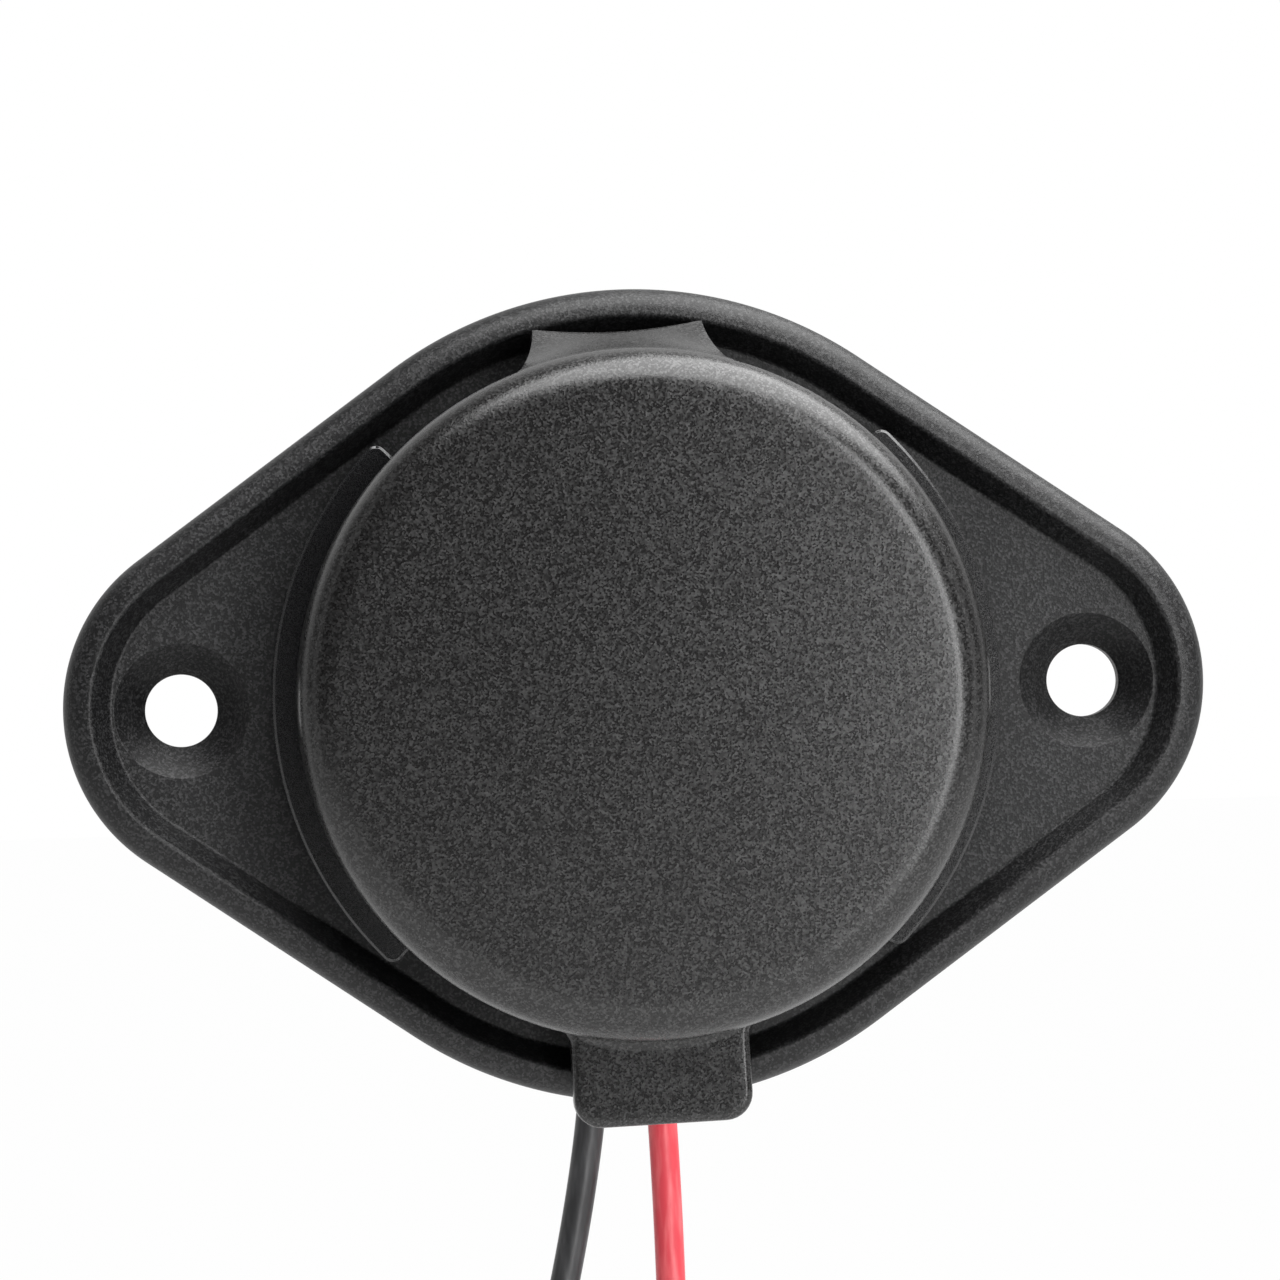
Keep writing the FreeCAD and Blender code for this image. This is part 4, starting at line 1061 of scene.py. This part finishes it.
@dataclass
class CapStrap:
    """Ring round the barrel with the bent strap that runs into the cap.

    Attributes:
        ring_inner: Inner radius of the ring.
        ring_outer: Outer radius of the ring.
        ring_middle: Radius at which the strap starts inside the ring.
        ring_edge: Radius of the ring's edges.
        back: Height of the ring's back.
        thickness: Thickness of ring and strap.
        half: Half width of the strap.
        bend: Inner radius of the bend.
        face: Distance from the axis to the strap's inner face.
        root_level: Height at which the root leaves the strap.
        root_top: Height at which the root runs out on the cap.
        root_sink: Depth by which the root reaches into the cap.
        root_proud: Distance by which the root's end stands out from the cap.
        flare: Widening of the root on each side.
        curl: Rise of the strap's edges in the bend.
        bulge: Bulge of the strap's two sides.
        border: Width of the strap's rounded borders.
        pace: Height between the bend or the strap and the station above it.
        hinge: Heights between which the real strap bends when the cap opens; not used.
        cap: The cap that the strap runs into.
    """

    ring_inner: float = 14.2
    ring_outer: float = 16.6
    ring_middle: float = 15.4
    ring_edge: float = 0.2
    back: float = 3.05
    thickness: float = 0.9
    half: float = 4.7
    bend: float = 1.4
    face: float = 19.0
    root_level: float = 6.35
    root_top: float = 13.0
    root_sink: float = 1.5
    root_proud: float = 0.03
    flare: float = 1.8
    curl: float = 0.38
    bulge: float = 0.12
    border: float = 0.35
    pace: float = 0.15
    hinge: Point2 = (4.9, 7.7)
    cap: DustCap = field(default_factory=DustCap)

    def strap_ring(self, y: float, z: float, lean: float, curl: float) -> list[Point3]:
        """Gives the section of the strap at one station.

        Args:
            y: Station's distance from the axis at mid thickness.
            z: Station's height at mid thickness.
            lean: Angle of the strap's outward face, 0 where it faces away from the axis.
            curl: Rise of the section's edges.

        Returns:
            The section's points, from the inner left edge over the outer face.
        """
        out_y, out_z = math.cos(lean), math.sin(lean)
        deep = self.thickness / 2
        flat = self.half - self.border
        left = [(-self.half + self.bulge * (1 - math.sin(a)), deep * math.sin(b))
                for a, b in ((0, -0.9), (0.8, -0.6), (1.57, 0.0), (1.57, 0.2), (0.8, 0.6), (0, 0.9))]
        top = [(x, deep) for x in span(-flat, flat, 20)]
        low = [(x, -deep) for x in span(flat, -flat, 20)]
        section = left + top + [(-x, d) for x, d in reversed(left)] + low
        points = []
        for x, d in section:
            d += curl * (x / self.half) ** 2
            points.append((x, y + out_y * d, z + out_z * d))
        return points

    def root_ring(self, t: float) -> list[Point3]:
        """Gives the section of the root at one height.

        Args:
            t: 0 where the root leaves the strap and 1 where it runs out on the cap's shoulder.

        Returns:
            The section's points, in the order of the strap's.
        """
        cap = self.cap
        start = self.root_level + self.pace
        height = start + (self.root_top - start) * t
        over = max(0.0, height - (cap.edge - cap.shoulder))
        skin = cap.radius - cap.shoulder + math.sqrt(cap.shoulder ** 2 - over ** 2)
        middle = skin + self.root_proud + (self.face + self.thickness - cap.radius) * (1 - t) ** 2.2
        half = self.half + self.flare * t ** 1.6
        bow = smoothstep(1.25 * t)
        curl = self.curl * (1 - t) ** 3

        def outer(x: float) -> float:
            """Gives the outer face's distance from the axis at a place across the root."""
            flat = middle + curl * (x / self.half) ** 2
            return flat + (math.sqrt(middle ** 2 - x ** 2) - flat) * bow

        low_y = skin - self.root_sink
        edge = outer(half) - 0.05
        left = [(-half, y) for y in span(low_y, edge - 0.15, 4)] + [(-half + 0.05, edge)]
        top = [(x, outer(x)) for x in span(0.3 - half, half - 0.3, 20)]
        low = [(x, low_y) for x in span(half - 0.4, 0.4 - half, 20)]
        section = left + top + [(-x, y) for x, y in reversed(left)] + low
        return [(x, y, height) for x, y in section]

    def build(self, finishes: Finishes) -> None:
        """Makes the strap, bent from the ring on the base up into the cap.

        Args:
            finishes: Materials of the part.
        """
        turn = math.radians(self.cap.clocking)
        shape = Shape(turn)
        front = self.back + self.thickness
        wall = rounded([(self.ring_middle, self.back, 0), (self.ring_outer, self.back, self.ring_edge),
                        (self.ring_outer, front, self.ring_edge), (self.ring_inner, front, self.ring_edge),
                        (self.ring_inner, self.back, self.ring_edge), (self.ring_middle, self.back, 0)], 3)
        shape.turned(wall[:-1], 128, closed=True)
        middle = self.back + self.thickness / 2
        bend_y, bend_z = self.face - self.bend, front + self.bend
        reach = self.bend + self.thickness / 2
        line = self.face + self.thickness / 2
        rings = [shape.ring(self.strap_ring(y, middle, -math.pi / 2, 0.0))
                 for y in span(self.ring_middle, bend_y - 0.2, 6)]
        for a in span(-math.pi / 2, 0.0, 12):
            y, z = bend_y + reach * math.cos(a), bend_z + reach * math.sin(a)
            curl = self.curl * smoothstep(1 + a / (math.pi / 2))
            rings.append(shape.ring(self.strap_ring(y, z, a, curl)))
        for z in span(bend_z + self.pace, self.root_level, 7):
            rings.append(shape.ring(self.strap_ring(line, z, 0.0, self.curl)))
        rings += [shape.ring(self.root_ring(t)) for t in span(0.0, 1.0, 24)]
        shape.skin(rings)
        shape.fill(rings[0])
        shape.fill(rings[-1])
        strap = shape.finish("strap", finishes.of(Finish.CAP), crease=50)
        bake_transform(strap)
        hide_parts("cap_strap")
        LOG.info("strap bends between base and cap")


@dataclass
class CadPieces:
    """Pieces whose CAD shape is kept: smoothed copies where they show, new finishes on the rest.

    Attributes:
        smoothed: Finish of each node that gets a smoothed copy.
        dressed: Finish of each node that is kept as it is.
        crease: Angle in degrees past which an edge of a copy stays sharp.
    """

    smoothed: dict[str, Finish] = field(default_factory=lambda: {
        "socket_housing": Finish.HOUSING, "ring_nut": Finish.NUT, "face_plate": Finish.FACE,
        "end_cover": Finish.NUT, "wire_grommet": Finish.GROMMET,
        "usb_shell_upper": Finish.STEEL, "usb_shell_lower": Finish.STEEL,
        "output_capacitor": Finish.CAN, "input_capacitor": Finish.CAN})
    dressed: dict[str, Finish] = field(default_factory=lambda: {
        "usb_tongue_upper": Finish.TONGUE, "usb_tongue_lower": Finish.TONGUE,
        "usb_contacts_upper": Finish.GOLD, "usb_contacts_lower": Finish.GOLD,
        "circuit_board": Finish.BOARD, "choke": Finish.FERRITE, "regulator_chip": Finish.EPOXY,
        "rectifier_diode": Finish.EPOXY, "chip_capacitors": Finish.CERAMIC, "solder_tails": Finish.TINNED})
    crease: float = 28.0

    def build(self, finishes: Finishes) -> None:
        """Copies and dresses the nodes.

        Args:
            finishes: Materials of the part.
        """
        for node, finish in self.smoothed.items():
            merged = bmesh.new()
            merged.from_mesh(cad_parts[node].data)
            bmesh.ops.remove_doubles(merged, verts=merged.verts, dist=1e-6)
            data = bpy.data.meshes.new(node + "_skin")
            merged.to_mesh(data)
            merged.free()
            data.update()
            skin = piece_of(node + "_skin", data, finishes.of(finish), self.crease)
            settle(skin, Body.BASE, finish.value.name, node)
        for node, finish in self.dressed.items():
            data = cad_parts[node].data
            data.materials.clear()
            data.materials.append(finishes.of(finish))
            LOG.info("%s keeps its shape and gets %s", node, finish.value.name)


@dataclass(frozen=True)
class SoftBox:
    """Soft lamp of the studio.

    Attributes:
        name: Name of the lamp.
        place: Where it hangs, in metres.
        width: Its width, in metres.
        height: Its height, in metres.
        power: Its power, in watts.
    """

    name: str
    place: Point3
    width: float
    height: float
    power: float

    def build(self) -> None:
        """Hangs the lamp and turns it to the part."""
        data = bpy.data.lights.new(self.name, "AREA")
        data.shape = "RECTANGLE"
        data.size, data.size_y = self.width, self.height
        data.energy = self.power
        lamp = bpy.data.objects.new(self.name, data)
        lamp.location = self.place
        lamp.rotation_euler = (-Vector(self.place)).to_track_quat("-Z", "Y").to_euler()
        bpy.context.scene.collection.objects.link(lamp)


@dataclass
class Studio:
    """Pale floor, white backdrop and soft light.

    Attributes:
        floor_level: Height of the floor, in metres.
        floor_half: Half the floor's width, in metres.
        floor_grey: Grey of the floor.
        floor_rough: Roughness of the floor.
        floor_fade: Depth over which the mirrored floor turns white behind the part, in metres.
        whiteness: Share of white in the floor that the camera sees; the rest takes the shadow.
        front: Brightness of the room in front of the part.
        turn: Share of the way to the backdrop at which the room is white.
        boxes: Soft lamps.
    """

    floor_level: float = -0.1
    floor_half: float = 6.0
    floor_grey: float = 0.6
    floor_rough: float = 0.8
    floor_fade: float = 0.4
    whiteness: float = 0.985
    front: float = 0.008
    turn: float = 0.5
    boxes: tuple[SoftBox, ...] = (
        SoftBox("key_right", (0.2, -0.44, 0.06), 0.09, 0.3, 1.35),
        SoftBox("top_right", (0.13, -0.12, 0.4), 0.7, 0.44, 8.6),
        SoftBox("edge_left", (-0.5, -0.13, 0.05), 0.08, 0.9, 0.3),
        SoftBox("edge_right", (0.5, -0.18, 0.05), 0.08, 0.9, 0.7),
    )

    def build(self) -> None:
        """Builds floor, backdrop and lamps."""
        self.build_floor()
        self.build_world()
        for box in self.boxes:
            box.build()
        bpy.context.scene.view_settings.view_transform = "Standard"

    def build_floor(self) -> None:
        """Lays the pale floor, white but for the part's shadow, in the picture and in what mirrors it."""
        shape = bmesh.new()
        bmesh.ops.create_grid(shape, x_segments=1, y_segments=1, size=self.floor_half)
        data = bpy.data.meshes.new("floor")
        shape.to_mesh(data)
        shape.free()
        data.transform(Matrix.Translation((0, 0, self.floor_level)))
        material, board, shader, place = new_material("pale_floor")
        grey = self.floor_grey
        board.feed(shader, {"Base Color": (grey, grey, grey, 1), "Roughness": self.floor_rough})
        white = board.add("ShaderNodeEmission", {"Strength": 1.0})
        rays = board.add("ShaderNodeLightPath").outputs
        mirrored = board.calculate("MAXIMUM", rays["Is Glossy Ray"], rays["Is Transmission Ray"])
        deep = board.add("ShaderNodeSeparateXYZ", {0: place}).outputs[1]
        behind = board.add("ShaderNodeMapRange", {0: deep, 1: 0.0, 2: self.floor_fade}).outputs[0]
        backdrop = board.calculate("MULTIPLY", mirrored, behind)
        seen = board.calculate("MAXIMUM", rays["Is Camera Ray"], backdrop)
        share = board.calculate("MULTIPLY", seen, self.whiteness)
        mix = board.add("ShaderNodeMixShader", {0: share, 1: shader.outputs[0], 2: white.outputs[0]})
        board.feed(board.tree.nodes["Material Output"], {0: mix.outputs[0]})
        data.materials.append(material)
        floor = bpy.data.objects.new("floor", data)
        bpy.context.scene.collection.objects.link(floor)

    def build_world(self) -> None:
        """Makes the world.

        It is white behind the part to every ray, dim in front of it, and white all round to the camera.
        """
        world = bpy.data.worlds.new("studio")
        bpy.context.scene.world = world
        world.use_nodes = True
        board = NodeBoard(world.node_tree)
        sight = board.add("ShaderNodeTexCoord").outputs["Generated"]
        deep = board.add("ShaderNodeSeparateXYZ", {0: sight}).outputs[1]
        room = board.add("ShaderNodeMapRange", {0: deep, 1: 0.0, 2: self.turn, 3: self.front, 4: 1.0})
        seen = board.add("ShaderNodeLightPath").outputs["Is Camera Ray"]
        board.feed(board.tree.nodes["Background"], {
            "Color": (1, 1, 1, 1), "Strength": board.calculate("MAXIMUM", seen, room.outputs[0])})


RED_ROUTE: list[Point3] = [
    (2.2, 26.5, -1.7), (2.2, 35.4, -1.7), (2.5, 41.8, -5.1), (3.0, 45.8, -11.5), (3.6, 46.7, -20.4),
    (4.0, 46.0, -34.4), (3.7, 44.3, -52.2), (2.8, 41.8, -70.0), (1.4, 38.8, -85.6)]
BLACK_ROUTE: list[Point3] = [
    (-2.2, 26.5, -1.7), (-2.2, 35.4, -1.7), (-1.9, 41.6, -5.3), (-1.0, 45.4, -11.8), (0.2, 46.3, -20.7),
    (-2.1, 45.6, -34.6), (-7.0, 44.0, -51.6), (-12.2, 41.6, -68.4), (-17.9, 38.8, -82.8)]


def main() -> None:
    """Builds the camera, the leads and every other piece in order."""
    logging.basicConfig(level=logging.INFO, format="%(message)s")
    finishes = Finishes()
    PhotoView().build()
    Lead("red_wire", RED_ROUTE, Finish.RED, 98.1).build(finishes)
    Lead("black_wire", BLACK_ROUTE, Finish.BLACK, 97.3).build(finishes)
    CadPieces().build(finishes)
    MountingFlange().build(finishes)
    WingBeads().build(finishes)
    CapStrap().build(finishes)
    DustCap().build(finishes)
    Studio().build()


if __name__ == "__main__":
    main()
